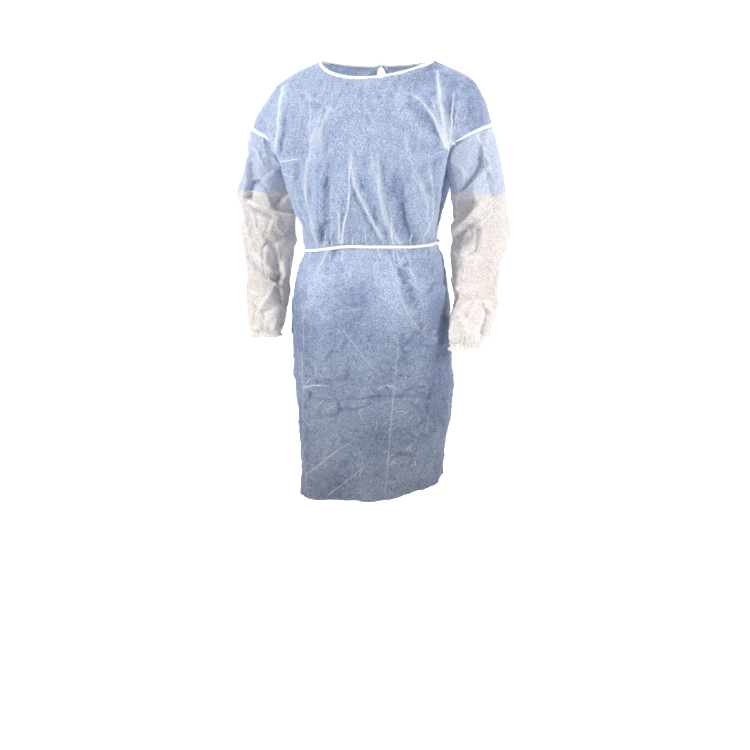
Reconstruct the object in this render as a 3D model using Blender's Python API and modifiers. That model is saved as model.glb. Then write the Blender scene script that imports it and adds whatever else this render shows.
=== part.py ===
# Isolation gown in its worn form: hollow, open at neck, cuffs, hem and armholes.
# The wearer faces -Y, +Z is up, and the origin is midway between the two neck points of the shoulder seams.
from collections import namedtuple
from math import pi

import bmesh
import bpy
import numpy as np

GOWN = "isolation_gown"
TINY = 1e-12

# Cloth and seams
WALL = 0.0012            # panels and sleeves
SEAM_GAP = 0.0010        # between two pieces at a seam
LIE_GAP = 0.0005         # between a panel and what lies on it
TAPE_THICK = 0.0010      # binding, seam tape and ties
TAPE_WIDTH = 0.0085
TAPE_START = 0.0038      # from the armhole seam to its tape
TAPE_LIFT = 0.0015       # further off, where the panel bends under it
BINDING_WIDTH = 0.0090
BINDING_LIFT = 0.0013    # further off than a flat lie, where the neckline bends
RIM_CLEAR = 0.0012       # between the neckline's edge and the binding's fold
CORNER_REACH = 0.15      # share of a cell over which the binding turns at the neck points
TIE_WIDTH = 0.0095
TIE_ROOM = 0.020         # from the tie's centre to the next row of the cloth above and below it
OUT = WALL / 2 + LIE_GAP + TAPE_THICK / 2

# Levels, measured down from the neck points
UNDERARM = -0.222
WAIST = -0.421
HEM = -1.020

# Grid
HALF_COLUMNS = 18        # cells from a side edge to the centre front
CORNER_CELLS = 6         # of them, up to the fold in front of the arm
CHEST_CELLS = 11         # of them, up to the neck point and the chest below it
FINE = 8                 # samples in each cell
YOKE_STEPS = 11          # cells from underarm to shoulder seam, and round half an armhole
RIM_RISE = 0.965         # the last row below the neckline and the shoulder seam
SKIRT_ROWS = 13
BODICE_ROWS = 8
BACK_CHEST_CELLS = 9     # cells of a back panel from its side edge to the neck point
BACK_NECK_CELLS = 6      # and from there to its free edge
SLEEVE_RINGS = 18
CUFF_COLUMNS = 44
CORNER_SHARE = CORNER_CELLS / HALF_COLUMNS
CHEST_SHARE = CHEST_CELLS / HALF_COLUMNS

# A level ring of the body. Depths are from the arm line to the front and to the back.
# Tuck is the share by which the cloth is pressed in at the side seam, under the arm.
Section = namedtuple("Section", "level centre half_width front back squareness tuck")
SECTIONS = (
    Section(HEM, 0.004, 0.167, 0.142, 0.127, 3.4, 0.00),
    Section(-0.940, 0.009, 0.171, 0.144, 0.128, 3.1, 0.00),
    Section(-0.850, 0.011, 0.180, 0.145, 0.129, 2.8, 0.00),
    Section(-0.760, 0.009, 0.187, 0.145, 0.130, 2.7, 0.00),
    Section(-0.670, 0.004, 0.190, 0.143, 0.131, 2.6, 0.00),
    Section(-0.580, 0.000, 0.187, 0.140, 0.130, 2.5, 0.00),
    Section(-0.510, 0.001, 0.178, 0.134, 0.122, 2.4, 0.00),
    Section(-0.455, 0.003, 0.168, 0.127, 0.112, 2.3, 0.00),
    Section(WAIST, 0.001, 0.157, 0.119, 0.104, 2.3, 0.00),
    Section(-0.395, 0.002, 0.162, 0.125, 0.109, 2.3, 0.03),
    Section(-0.355, 0.000, 0.177, 0.130, 0.114, 2.6, 0.09),
    Section(-0.300, -0.006, 0.203, 0.133, 0.120, 3.0, 0.20),
    Section(UNDERARM, -0.010, 0.221, 0.131, 0.120, 3.2, 0.28),
)
TUCK_REACH = 0.060       # how far the tuck spreads to the front and back

# A ring from arm to arm over the shoulders, at a share of the way up from the underarm to the shoulder
# seam. Corner is the fold in front of or behind the arm, chest lies under the neck point, and middle is
# the centre line.
Yoke = namedtuple(
    "Yoke",
    "rise shift corner_half corner_depth corner_level chest_half chest_depth chest_level"
    " middle_depth middle_level",
)
FRONT_YOKE = (
    Yoke(0.2, -0.006, 0.206, 0.088, -0.190, 0.127, 0.119, -0.180, 0.130, -0.188),
    Yoke(0.4, -0.002, 0.211, 0.088, -0.156, 0.138, 0.111, -0.140, 0.127, -0.151),
    Yoke(0.6, 0.003, 0.217, 0.076, -0.122, 0.148, 0.094, -0.101, 0.120, -0.115),
    Yoke(0.8, 0.008, 0.228, 0.048, -0.085, 0.158, 0.060, -0.060, 0.108, -0.079),
    Yoke(1.0, 0.013, 0.233, -0.003, -0.054, 0.130, -0.002, 0.000, 0.090, -0.039),
)
BACK_YOKE = (
    Yoke(0.2, 0.000, 0.203, 0.082, -0.190, 0.124, 0.117, -0.180, 0.125, -0.180),
    Yoke(0.4, 0.002, 0.208, 0.084, -0.156, 0.137, 0.113, -0.140, 0.124, -0.140),
    Yoke(0.6, 0.005, 0.215, 0.077, -0.122, 0.147, 0.099, -0.101, 0.117, -0.098),
    Yoke(0.8, 0.008, 0.228, 0.053, -0.085, 0.158, 0.067, -0.060, 0.098, -0.053),
    Yoke(1.0, 0.013, 0.233, 0.003, -0.054, 0.130, 0.002, 0.000, 0.064, -0.012),
)
# The waist tie sags to the wearer's right, and the hem hangs lower there and is drawn up on the left
TIE_SAG, TIE_SAG_REACH = 0.018, 0.070
HEM_SAG, HEM_LIFT, HEM_REACH = 0.009, 0.029, 0.260
NEAR_SIDE, AT_SIDE = 0.020, 0.170
NECK_FRONT_SHIFT = -0.020    # the front of the neckline hangs a little to the wearer's right
NECK_ROUND = 1.5             # how sharply the neckline drops from the neck points

# The dropped armhole is a slanted oval round each upper arm, from the side seam to this point on the
# shoulder
Armhole = namedtuple("Armhole", "top_out top_back top_level depth")
ARMHOLES = {
    "left": Armhole(0.284, 0.006, -0.152, 0.068),
    "right": Armhole(0.285, 0.006, -0.158, 0.068),
}
ARMHOLE_SWEEP = 1.3      # how late the oval swings out from the side seam
ARMHOLE_CLIMB = 0.75     # and, against that, how early it climbs
SIDES = {"left": 1, "right": -1}

# A ring of the sleeve: how far out, back and down its centre lies, its half width and half depth,
# and how far its outer edge stands above its inner one
Ring = namedtuple("Ring", "out back level half_width half_depth slant")
SLEEVES = {
    "left": (
        Ring(0.2450, 0.010, -0.250, 0.0620, 0.064, 0.024),
        Ring(0.2530, 0.018, -0.310, 0.0650, 0.064, 0.010),
        Ring(0.2540, 0.026, -0.365, 0.0655, 0.064, 0.002),
        Ring(0.2530, 0.028, -0.430, 0.0630, 0.063, 0.000),
        Ring(0.2500, 0.006, -0.500, 0.0545, 0.060, 0.000),
        Ring(0.2520, -0.032, -0.562, 0.0500, 0.056, 0.004),
        Ring(0.2480, -0.064, -0.615, 0.0480, 0.050, 0.006),
        Ring(0.2410, -0.078, -0.641, 0.0410, 0.042, 0.006),
    ),
    "right": (
        Ring(0.2440, 0.010, -0.254, 0.0610, 0.063, 0.024),
        Ring(0.2600, 0.018, -0.310, 0.0640, 0.064, 0.008),
        Ring(0.2560, 0.026, -0.365, 0.0655, 0.064, 0.000),
        Ring(0.2590, 0.028, -0.430, 0.0600, 0.062, 0.000),
        Ring(0.2540, 0.008, -0.500, 0.0540, 0.060, 0.000),
        Ring(0.2500, -0.022, -0.550, 0.0510, 0.055, 0.000),
        Ring(0.2470, -0.050, -0.603, 0.0440, 0.048, 0.000),
        Ring(0.2440, -0.061, -0.626, 0.0390, 0.041, 0.000),
    ),
}
ARMPIT_INSET = 0.0068    # the sleeve starts this far inside the armhole's low point, clear of the body
INSET_FADE = 1.5         # and how quickly that ends up the sides of the armhole

# The elastic end of the sleeve: along the cuff, its size against the sleeve's end, and how strong its
# ruffle is
Hoop = namedtuple("Hoop", "along size ruffle")
CUFF_LENGTH = 0.018
CUFF_HOOPS = (Hoop(0.0, 1.0, 0.0), Hoop(0.35, 0.90, 0.5), Hoop(0.65, 0.86, 0.8), Hoop(1.0, 0.95, 1.0))
RUFFLES = 15
RUFFLE_DEPTH = 0.0022

# Folds fade in and out over these shares of their length, and where the cloth turns away from the viewer
FADE_IN, FADE_OUT = (-0.02, 0.30), (1.02, 0.75)
FACING = (0.15, 0.60)
# Long soft folds, seen from the front or the back: (across, level) of the upper and lower ends,
# sideways bow, half width, and rise of the ridge or, below zero, fall of the trough
Fold = namedtuple("Fold", "x_top z_top x_foot z_foot bow width rise")
FRONT_FOLDS = (
    Fold(-0.116, -0.110, -0.122, -0.425, -0.022, 0.016, 0.0090),
    Fold(-0.086, -0.190, -0.098, -0.425, -0.012, 0.014, -0.0060),
    Fold(-0.036, -0.225, -0.052, -0.420, 0.006, 0.014, 0.0055),
    Fold(0.010, -0.215, 0.076, -0.420, -0.010, 0.017, 0.0065),
    Fold(0.072, -0.240, 0.112, -0.420, 0.004, 0.014, -0.0065),
    Fold(0.128, -0.230, 0.140, -0.420, 0.004, 0.016, 0.0055),
    Fold(0.184, -0.196, 0.064, -0.070, -0.010, 0.014, 0.0070),
    Fold(0.194, -0.190, 0.160, -0.030, 0.002, 0.013, 0.0075),
    Fold(0.214, -0.188, 0.220, -0.080, 0.000, 0.012, 0.0055),
    Fold(-0.212, -0.085, -0.205, -0.260, 0.004, 0.014, 0.0080),
    Fold(-0.090, -0.452, -0.158, -0.600, -0.012, 0.015, 0.0065),
    Fold(-0.050, -0.452, -0.060, -0.520, 0.000, 0.014, -0.0035),
    Fold(0.038, -0.452, 0.080, -0.660, -0.016, 0.017, 0.0065),
    Fold(0.084, -0.452, 0.116, -0.560, -0.006, 0.014, -0.0045),
    Fold(-0.152, -0.560, -0.150, -1.060, 0.004, 0.018, 0.0045),
    Fold(0.022, -0.640, -0.012, -1.060, 0.004, 0.020, 0.0030),
)
BACK_FOLDS = (
    Fold(-0.120, -0.130, -0.108, -0.425, 0.010, 0.016, 0.0080),
    Fold(-0.084, -0.210, -0.068, -0.425, -0.006, 0.014, -0.0055),
    Fold(0.125, -0.140, 0.100, -0.425, -0.010, 0.016, 0.0080),
    Fold(0.090, -0.230, 0.066, -0.425, 0.006, 0.014, -0.0055),
    Fold(-0.106, -0.452, -0.135, -0.660, 0.008, 0.016, 0.0070),
    Fold(-0.070, -0.452, -0.084, -0.560, 0.000, 0.014, -0.0050),
    Fold(0.104, -0.452, 0.140, -0.680, -0.008, 0.016, 0.0070),
    Fold(0.070, -0.452, 0.084, -0.570, 0.000, 0.014, -0.0050),
    Fold(-0.150, -0.620, -0.140, -1.060, 0.004, 0.018, 0.0050),
    Fold(0.150, -0.620, 0.146, -1.060, -0.004, 0.018, 0.0050),
)
# Creases across a sleeve: share of the way down it, place round it (0 outside, 0.25 front, 0.5 inside),
# slope, spread round it, half width along it, and rise
Crease = namedtuple("Crease", "along around slope spread width rise")
SLEEVE_CREASES = {
    "left": (
        Crease(0.30, 0.30, 0.10, 0.16, 0.024, -0.0040),
        Crease(0.40, 0.33, 0.25, 0.20, 0.024, 0.0065),
        Crease(0.47, 0.38, 0.25, 0.18, 0.022, -0.0060),
        Crease(0.54, 0.42, 0.25, 0.18, 0.024, 0.0070),
        Crease(0.68, 0.14, -0.10, 0.16, 0.024, -0.0045),
        Crease(0.45, 0.80, 0.00, 0.20, 0.026, 0.0045),
        Crease(0.82, 0.60, 0.05, 0.18, 0.024, 0.0035),
    ),
    "right": (
        Crease(0.30, 0.06, 0.10, 0.14, 0.024, 0.0060),
        Crease(0.38, 0.12, 0.10, 0.16, 0.022, -0.0055),
        Crease(0.46, 0.38, -0.20, 0.16, 0.024, -0.0060),
        Crease(0.54, 0.42, 0.10, 0.16, 0.024, 0.0065),
        Crease(0.70, 0.04, 0.00, 0.14, 0.024, -0.0050),
        Crease(0.45, 0.80, 0.00, 0.20, 0.026, 0.0045),
        Crease(0.82, 0.60, 0.05, 0.18, 0.024, 0.0035),
    ),
}

# The back opening: how far each back panel's free edge passes the centre line at nape, shoulder blades,
# waist and hem
LAP_NAPE = -0.011
LAP_BLADES = 0.016
LAP_WAIST = 0.065
LAP_HEM = 0.075
LAP_CLEAR = 0.0030       # the left panel lies this far outside the right one
LAP_NEAR, LAP_FAR = 0.28, 0.46    # the shares from the centre line over which it comes to lie outside
COVER_CLEAR = 0.070      # the share short of the left panel's edge at which the tie leaves the right panel

# Knots and tails
Knot = namedtuple("Knot", "half_width half_depth half_height")
NECK_KNOT = Knot(0.0100, 0.0060, 0.0070)
WAIST_KNOT = Knot(0.0120, 0.0070, 0.0085)
KNOT_TURNS, KNOT_RINGS = 12, 7
NECK_TAIL_ROWS = 6
WAIST_TAIL_ROWS = 5
NECK_TAIL_SPREAD = (0.020, 0.060)
WAIST_TAIL_SPREAD = (0.020, 0.075)
TAIL_WIDTH = 0.0080

COLOURS = {
    "cloth": (0.80, 0.84, 0.92, 1.0),
    "trim": (0.93, 0.93, 0.92, 1.0),
}
CLOTH_ROUGHNESS = 0.85


def clear_scene():
    for old in list(bpy.data.objects):
        bpy.data.objects.remove(old, do_unlink=True)


def material_of(name, colour):
    material = bpy.data.materials.new(name)
    material.use_nodes = True
    shader = material.node_tree.nodes["Principled BSDF"]
    shader.inputs["Base Color"].default_value = COLOURS[colour]
    shader.inputs["Roughness"].default_value = CLOTH_ROUGHNESS
    shader.inputs["Metallic"].default_value = 0.0
    return material


def unit(vectors):
    return vectors / np.maximum(np.linalg.norm(vectors, axis=-1, keepdims=True), TINY)


def evenly(points, count):
    """The same curve with its points evenly spaced."""
    along = np.concatenate([[0.0], np.cumsum(np.linalg.norm(np.diff(points, axis=0), axis=1))])
    wanted = np.linspace(0.0, along[-1], count)
    return np.stack([np.interp(wanted, along, points[:, axis]) for axis in range(3)], axis=1)


def spline(knots, points, wanted):
    """A smooth curve through points at uneven knots, read at the wanted places, with no overshoot."""
    knots = np.asarray(knots, float)
    points = np.asarray(points, float)
    column = (-1,) + (1,) * (points.ndim - 1)
    spans = np.diff(knots).reshape(column)
    slopes = np.diff(points, axis=0) / spans
    before, after = slopes[:-1], slopes[1:]
    weight = (spans[:-1] + 2 * spans[1:]) / (3 * (spans[:-1] + spans[1:]))
    same_way = before * after > 0
    blend = np.where(same_way, weight * after + (1 - weight) * before, 1.0)
    tangents = np.empty_like(points)
    tangents[1:-1] = np.where(same_way, before * after / blend, 0.0)
    tangents[0] = 1.5 * slopes[0] - 0.5 * tangents[1]
    tangents[-1] = 1.5 * slopes[-1] - 0.5 * tangents[-2]
    wanted = np.asarray(wanted, float)
    cell = np.clip(np.searchsorted(knots, wanted, side="right") - 1, 0, len(spans) - 1)
    span = spans[cell]
    t = (wanted - knots[cell]).reshape(column) / span
    start = (1 + 2 * t) * (1 - t) ** 2 * points[cell] + t * (1 - t) ** 2 * span * tangents[cell]
    end = t * t * (3 - 2 * t) * points[cell + 1] + t * t * (t - 1) * span * tangents[cell + 1]
    return start + end


def smooth_step(low, high, value):
    t = np.clip((value - low) / (high - low), 0.0, 1.0)
    return t * t * (3 - 2 * t)


def section_row(section, way, count):
    """Half a level ring, from the side seam at -X round the front or back to the one at +X."""
    angle = np.linspace(pi, 0.0, 2 * count)
    power = 2 / section.squareness
    deep = (section.front if way < 0 else section.back) * np.abs(np.sin(angle)) ** power
    across = np.sign(np.cos(angle)) * np.abs(np.cos(angle)) ** power * section.half_width
    across = across * (1 - section.tuck * np.exp(-((deep / TUCK_REACH) ** 2)))
    points = np.stack([section.centre + across, way * deep, np.full_like(angle, section.level)], axis=1)
    return evenly(points, count)


def armhole_point(side, way, rise):
    """A point of the armhole, in its front or back half: rise 0 is under the arm, 1 on the shoulder."""
    hole = ARMHOLES[side]
    low = SECTIONS[-1]
    inner = low.half_width * (1 - low.tuck) + SIDES[side] * low.centre
    swing = np.sin(pi * rise / 2) ** ARMHOLE_SWEEP
    deep = hole.depth * np.sin(pi * rise)
    return np.array((
        SIDES[side] * (inner + (hole.top_out - inner) * swing),
        hole.top_back * swing + way * deep,
        low.level + (hole.top_level - low.level) * swing**ARMHOLE_CLIMB,
    ))


def neckline(way, count):
    """The neckline from the right neck point to the left one, round the front or back."""
    top = (FRONT_YOKE if way < 0 else BACK_YOKE)[-1]
    angle = np.linspace(pi, 0.0, count)
    lean = NECK_FRONT_SHIFT if way < 0 else 0.0
    across = top.shift + top.chest_half * np.cos(angle) + lean * np.sin(angle) ** 2
    deep = top.chest_depth + (top.middle_depth - top.chest_depth) * np.sin(angle)
    level = top.middle_level * np.sin(angle) ** NECK_ROUND
    return np.stack([across, way * deep, level], axis=1)


def yoke_row(yoke, way, shares):
    """A ring from arm to arm, over the chest or the shoulder blades. Shares run from -1 to 1 across it."""
    keys = {}
    for side, sign in SIDES.items():
        keys[side] = (
            armhole_point(side, way, yoke.rise),
            (yoke.shift + sign * yoke.corner_half, way * yoke.corner_depth, yoke.corner_level),
            (yoke.shift + sign * yoke.chest_half, way * yoke.chest_depth, yoke.chest_level),
        )
    middle = (yoke.shift, way * yoke.middle_depth, yoke.middle_level)
    half_knots = np.array((1.0, 1 - CORNER_SHARE, 1 - CHEST_SHARE))
    if yoke.rise < 1:
        knots = np.concatenate([-half_knots, [0.0], half_knots[::-1]])
        return spline(knots, np.array((*keys["right"], middle, *keys["left"][::-1])), shares)
    row = np.empty((len(shares), 3))
    right = shares < CHEST_SHARE - 1
    left = shares > 1 - CHEST_SHARE
    row[right] = spline(-half_knots, keys["right"], shares[right])
    row[left] = spline(half_knots[::-1], keys["left"][::-1], shares[left])
    row[~right & ~left] = neckline(way, (~right & ~left).sum())
    return row


def row_knots(rows):
    """The places of the rows along the cloth: the mean distance from one to the next."""
    steps = np.linalg.norm(np.diff(rows, axis=0), axis=2).mean(axis=1)
    return np.concatenate([[0.0], np.cumsum(steps)])


def fold_height(folds, points):
    """How far the folds lift or lower these points, seen from the front or the back."""
    lift = np.zeros(points.shape[:-1])
    for fold in folds:
        run_x, run_z = fold.x_foot - fold.x_top, fold.z_foot - fold.z_top
        length = np.hypot(run_x, run_z)
        from_x, from_z = points[..., 0] - fold.x_top, points[..., 2] - fold.z_top
        along = (from_x * run_x + from_z * run_z) / length**2
        off = (from_x * run_z - from_z * run_x) / length - fold.bow * np.sin(pi * np.clip(along, 0.0, 1.0))
        ends = smooth_step(*FADE_IN, along) * smooth_step(*FADE_OUT, along)
        lift += fold.rise * ends * np.exp(-((off / fold.width) ** 2))
    return lift


def uneven_level(points):
    """How far the points lie above or below a level waist and hem."""
    across, level = points[..., 0], points[..., 2]
    right = smooth_step(NEAR_SIDE, AT_SIDE, -across)
    left = smooth_step(NEAR_SIDE, AT_SIDE, across)
    tie = -TIE_SAG * right * np.exp(-(((level - WAIST) / TIE_SAG_REACH) ** 2))
    hem = (HEM_LIFT * left - HEM_SAG * right) * smooth_step(HEM + HEM_REACH, HEM, level)
    return tie + hem


def normals_of(grid, way):
    """Outward normals of a grid whose columns run from -X to +X and whose rows run upward."""
    return unit(np.cross(np.gradient(grid, axis=1), np.gradient(grid, axis=0)) * -way)


class Side:
    """The front or the back of the body as one smooth sheet with its folds, finely sampled across."""

    def __init__(self, way, yokes, folds):
        self.way = way
        self.folds = folds
        self.shares = np.linspace(-1.0, 1.0, 2 * HALF_COLUMNS * FINE + 1)
        rows = [section_row(section, way, len(self.shares)) for section in SECTIONS]
        rows += [yoke_row(yoke, way, self.shares) for yoke in yokes]
        self.sections = np.array(rows)

    def shape(self, other):
        """Lofts the sections. Beyond the shoulder seam the other side carries on, for a round shoulder."""
        ahead = 2 * self.sections[-1] - self.sections[-2]
        over = (np.abs(self.shares) > 1 - CHEST_SHARE)[:, None]
        beyond = np.where(over, other.sections[-2], ahead)
        rows = np.concatenate([self.sections, beyond[None]])
        knots = row_knots(rows)
        levels = [section.level for section in SECTIONS]
        body = np.interp(body_levels(), levels, knots[: len(levels)])
        yoke_steps = np.linspace(0.0, 1.0, len(FRONT_YOKE) + 1)
        yoke = np.interp(yoke_rises()[1:], yoke_steps, knots[len(levels) - 1 : -1])
        smooth = spline(knots, rows, np.concatenate([body, yoke]))
        smooth[..., 2] += uneven_level(smooth)
        self.normals = normals_of(smooth, self.way)
        facing = smooth_step(*FACING, self.way * self.normals[..., 1])
        self.grid = smooth + self.normals * (facing * fold_height(self.folds, smooth))[..., None]

    def read(self, row, share):
        """Point and outward normal of a row at a share of the way across."""
        place = (share + 1) / 2 * (len(self.shares) - 1)
        low = int(np.clip(np.floor(place), 0, len(self.shares) - 2))
        t = place - low
        point = (1 - t) * self.grid[row, low] + t * self.grid[row, low + 1]
        normal = (1 - t) * self.normals[row, low] + t * self.normals[row, low + 1]
        return point, unit(normal)


def yoke_rises():
    """The shares of the way up from the underarm to the shoulder seam at which the rows lie."""
    return np.concatenate([np.linspace(0.0, 1.0, YOKE_STEPS)[:-1], [RIM_RISE, 1.0]])


def body_levels():
    """Heights of the body's rows: even ones, and those of the waist tie's edges."""
    skirt = np.linspace(HEM, WAIST - TIE_ROOM, SKIRT_ROWS + 1)
    tie = (WAIST - TIE_WIDTH / 2, WAIST + TIE_WIDTH / 2)
    bodice = np.linspace(WAIST + TIE_ROOM, UNDERARM, BODICE_ROWS + 1)
    return np.concatenate([skirt, tie, bodice])


TIE_ROW = SKIRT_ROWS + 1
UNDERARM_ROW = TIE_ROW + 2 + BODICE_ROWS


def draw_back(points, inner, gap):
    """The points moved by a gap towards their inner neighbours."""
    return points + unit(inner - points) * gap


def sheet_object(name, grid, thickness, material, ring=False, turn=False):
    """A grid of points as an open sheet, or as a tube when ring is set, thickened to both sides."""
    mesh = bpy.data.meshes.new(name)
    body = bmesh.new()
    verts = [[body.verts.new(point) for point in row] for row in grid]
    columns = len(grid[0])
    for low, high in zip(verts, verts[1:]):
        for column in range(columns if ring else columns - 1):
            after = (column + 1) % columns
            corners = (low[column], low[after], high[after], high[column])
            body.faces.new(corners[::-1] if turn else corners)
    body.to_mesh(mesh)
    body.free()
    mesh.shade_smooth()
    mesh.materials.append(material)
    piece = bpy.data.objects.new(name, mesh)
    bpy.data.collections[GOWN].objects.link(piece)
    wall = piece.modifiers.new("wall", "SOLIDIFY")
    wall.thickness = thickness
    wall.offset = 0.0
    return piece


def lap_at(level):
    """How far a back panel's free edge passes the centre line at this level."""
    levels = (HEM, WAIST, UNDERARM, BACK_YOKE[-1].middle_level)
    return np.interp(level, levels, (LAP_HEM, LAP_WAIST, LAP_BLADES, LAP_NAPE))


def half_length(back, row):
    """The length of a row of the back, from the side edge to the centre line."""
    return np.linalg.norm(np.diff(back.grid[row], axis=0), axis=1).sum() / 2


def back_shares(back, row):
    """Where the left back panel's columns lie on a row, from the side edge to its free edge past the
    centre. On the shoulder one of them ends at the neck point."""
    edge = -lap_at(back.grid[row, len(back.shares) // 2, 2]) / half_length(back, row)
    columns = BACK_CHEST_CELLS + BACK_NECK_CELLS
    even = np.linspace(1.0, edge, columns + 1)
    stops = (0, BACK_CHEST_CELLS, columns)
    matched = np.interp(np.arange(columns + 1), stops, (1.0, 1 - CHEST_SHARE, edge))
    pull = max(0.0, (row - UNDERARM_ROW) / YOKE_STEPS)
    return (1 - pull) * even + pull * matched


def back_grid(side, back):
    """A back panel's points. Near the centre line the left one stands outside the right one."""
    rows = []
    for row in range(len(back.grid)):
        points = []
        for share in back_shares(back, row):
            point, normal = back.read(row, SIDES[side] * share)
            over = LAP_CLEAR * smooth_step(LAP_FAR, LAP_NEAR, share) if side == "left" else 0.0
            points.append(point + normal * over)
        rows.append(points)
    return np.array(rows)


def make_panel(name, grid, seams, turn=False):
    """A panel from its grid. It stops short of its neighbours at the seams, given as columns, and at the
    shoulder."""
    grid = grid.copy()
    for edge, inner in seams:
        grid[:, edge] = draw_back(grid[:, edge], grid[:, inner], SEAM_GAP / 2)
    grid[-1] = draw_back(grid[-1], grid[-2], SEAM_GAP / 2)
    sheet_object(name, grid, WALL, material_of(name + "_cloth", "cloth"), turn=turn)


def sleeve_turns():
    """Places round the armhole that match the body's rows: down the front half, then up the back one."""
    steps = pi * (1 - yoke_rises()[:0:-1])
    return np.concatenate([steps, [pi], 2 * pi - steps[:0:-1]])


def ring_points(side, ring, turns):
    """A ring of the sleeve. Turns start outside and pass round the front to the inside."""
    out = ring.out + ring.half_width * np.cos(turns)
    deep = ring.back - ring.half_depth * np.sin(turns)
    level = ring.level + ring.slant / 2 * np.cos(turns)
    return np.stack([SIDES[side] * out, deep, level], axis=1)


def armhole_ring(side, turns):
    """The armhole's points, round the front half and then the back one."""
    ways = np.where(turns <= pi, -1, 1)
    rises = np.abs(1 - turns / pi)
    return np.array([armhole_point(side, way, rise) for way, rise in zip(ways, rises)])


def sleeve_grid(side):
    """The sleeve from the armhole to its end, with the creases at the elbow."""
    turns = sleeve_turns()
    first = armhole_ring(side, turns)
    under = (1 - np.cos(turns))[:, None] / 2
    first += unit(first.mean(axis=0) - first) * ARMPIT_INSET * under**INSET_FADE
    rings = np.array([first] + [ring_points(side, ring, turns) for ring in SLEEVES[side]])
    knots = row_knots(rings)
    places = np.linspace(0.0, knots[-1], SLEEVE_RINGS + 1)
    grid = spline(knots, rings, places)
    grid[0] = draw_back(grid[0], grid[1], SEAM_GAP / 2)
    outward = unit(grid - grid.mean(axis=1, keepdims=True))
    along = (places / knots[-1])[:, None]
    around = (turns / (2 * pi))[None, :]
    lift = np.zeros(grid.shape[:2])
    for crease in SLEEVE_CREASES[side]:
        away = (around - crease.around + 0.5) % 1.0 - 0.5
        off = (along - crease.along - crease.slope * away) * knots[-1]
        lift += crease.rise * np.exp(-((away / crease.spread) ** 2) - (off / crease.width) ** 2)
    return grid + outward * lift[..., None]


def make_sleeve(side, grid):
    name = "sleeve_" + side
    sheet_object(name, grid, WALL, material_of(name + "_cloth", "cloth"), ring=True, turn=side == "left")


def make_cuff(side):
    """The sleeve's turned end: drawn in at the elastic, then a short ruffle."""
    turns = np.linspace(0.0, 2 * pi, CUFF_COLUMNS, endpoint=False)
    last, end = SLEEVES[side][-2:]
    outward = SIDES[side] * (end.out - last.out)
    fall = unit(np.array((outward, end.back - last.back, end.level - last.level)))
    base = ring_points(side, end, turns)
    centre = base.mean(axis=0)
    outward = base - centre
    wave = RUFFLE_DEPTH * np.cos(RUFFLES * turns)[:, None] * unit(outward)
    rows = []
    for hoop in CUFF_HOOPS:
        shift = fall * (SEAM_GAP + hoop.along * CUFF_LENGTH)
        rows.append(centre + shift + outward * hoop.size + wave * hoop.ruffle)
    name = "cuff_" + side
    sheet_object(name, rows, WALL, material_of(name + "_cloth", "cloth"), ring=True, turn=side == "left")


def make_armhole_tape(side, grids):
    """White tape beside the armhole seam, on the body's side of it all round."""
    front, back = grids["front"], grids[side]
    edge, inner = (-1, -2) if side == "left" else (0, 1)
    seam, inward, normals = [], [], []
    for step in range(2 * YOKE_STEPS):
        row = UNDERARM_ROW + abs(YOKE_STEPS - step)
        ways = (unit(front[row, inner] - front[row, edge]), unit(back[row, 1] - back[row, 0]))
        outs = (grids["front_normals"][row, edge], grids[side + "_normals"][row, 0])
        if step in (0, YOKE_STEPS):
            way, out = ways[0] + ways[1], outs[0] + outs[1]
        else:
            way, out = (ways[0], outs[0]) if step < YOKE_STEPS else (ways[1], outs[1])
        if step == YOKE_STEPS:
            way = front[row - 1, edge] - front[row, edge]
        seam.append(front[row, edge] if step <= YOKE_STEPS else back[row, 0])
        inward.append(way)
        normals.append(out)
    seam, inward, normals = np.array(seam), unit(np.array(inward)), unit(np.array(normals))
    start = seam + inward * TAPE_START + normals * (OUT + TAPE_LIFT)
    name = "armhole_tape_" + side
    rows = (start, start + inward * TAPE_WIDTH)
    material = material_of(name + "_trim", "trim")
    sheet_object(name, rows, TAPE_THICK, material, ring=True, turn=side == "right")


def make_waist_tie(grids, back):
    """The tie all round the waist, on the front, the left back panel and the rest of the right one."""
    left_shares = back_shares(back, TIE_ROW)
    covered = np.sum(-left_shares < left_shares[-1] - COVER_CLEAR)
    rows = []
    for row in (TIE_ROW, TIE_ROW + 1):
        front = grids["front"][row] + grids["front_normals"][row] * OUT
        left = grids["left"][row, 1:] + grids["left_normals"][row, 1:] * OUT
        right = grids["right"][row, 1:covered] + grids["right_normals"][row, 1:covered] * OUT
        rows.append(np.concatenate([front, left, right[::-1]]))
    sheet_object("waist_tie", rows, TAPE_THICK, material_of("waist_trim", "trim"), ring=True)


def binding_stretch(grids, name, columns, corners):
    """Rim points, directions down the cloth and normals for the columns of one panel. At a neck point,
    given as a corner, the rim starts a little way along the next cell, for the seam itself comes between
    the panels."""
    grid = grids[name]
    normals = grids[name + "_normals"][-1, columns]
    points = grid[-1, columns]
    down = unit(grid[-2, columns] - points)
    for corner, after in corners:
        flat = unit(np.cross(points[after] - points[corner], down[corner]))
        normals[corner] = flat * np.sign(flat @ normals[corner])
        points[corner] += (points[after] - points[corner]) * CORNER_REACH
    return points, down, normals


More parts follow.
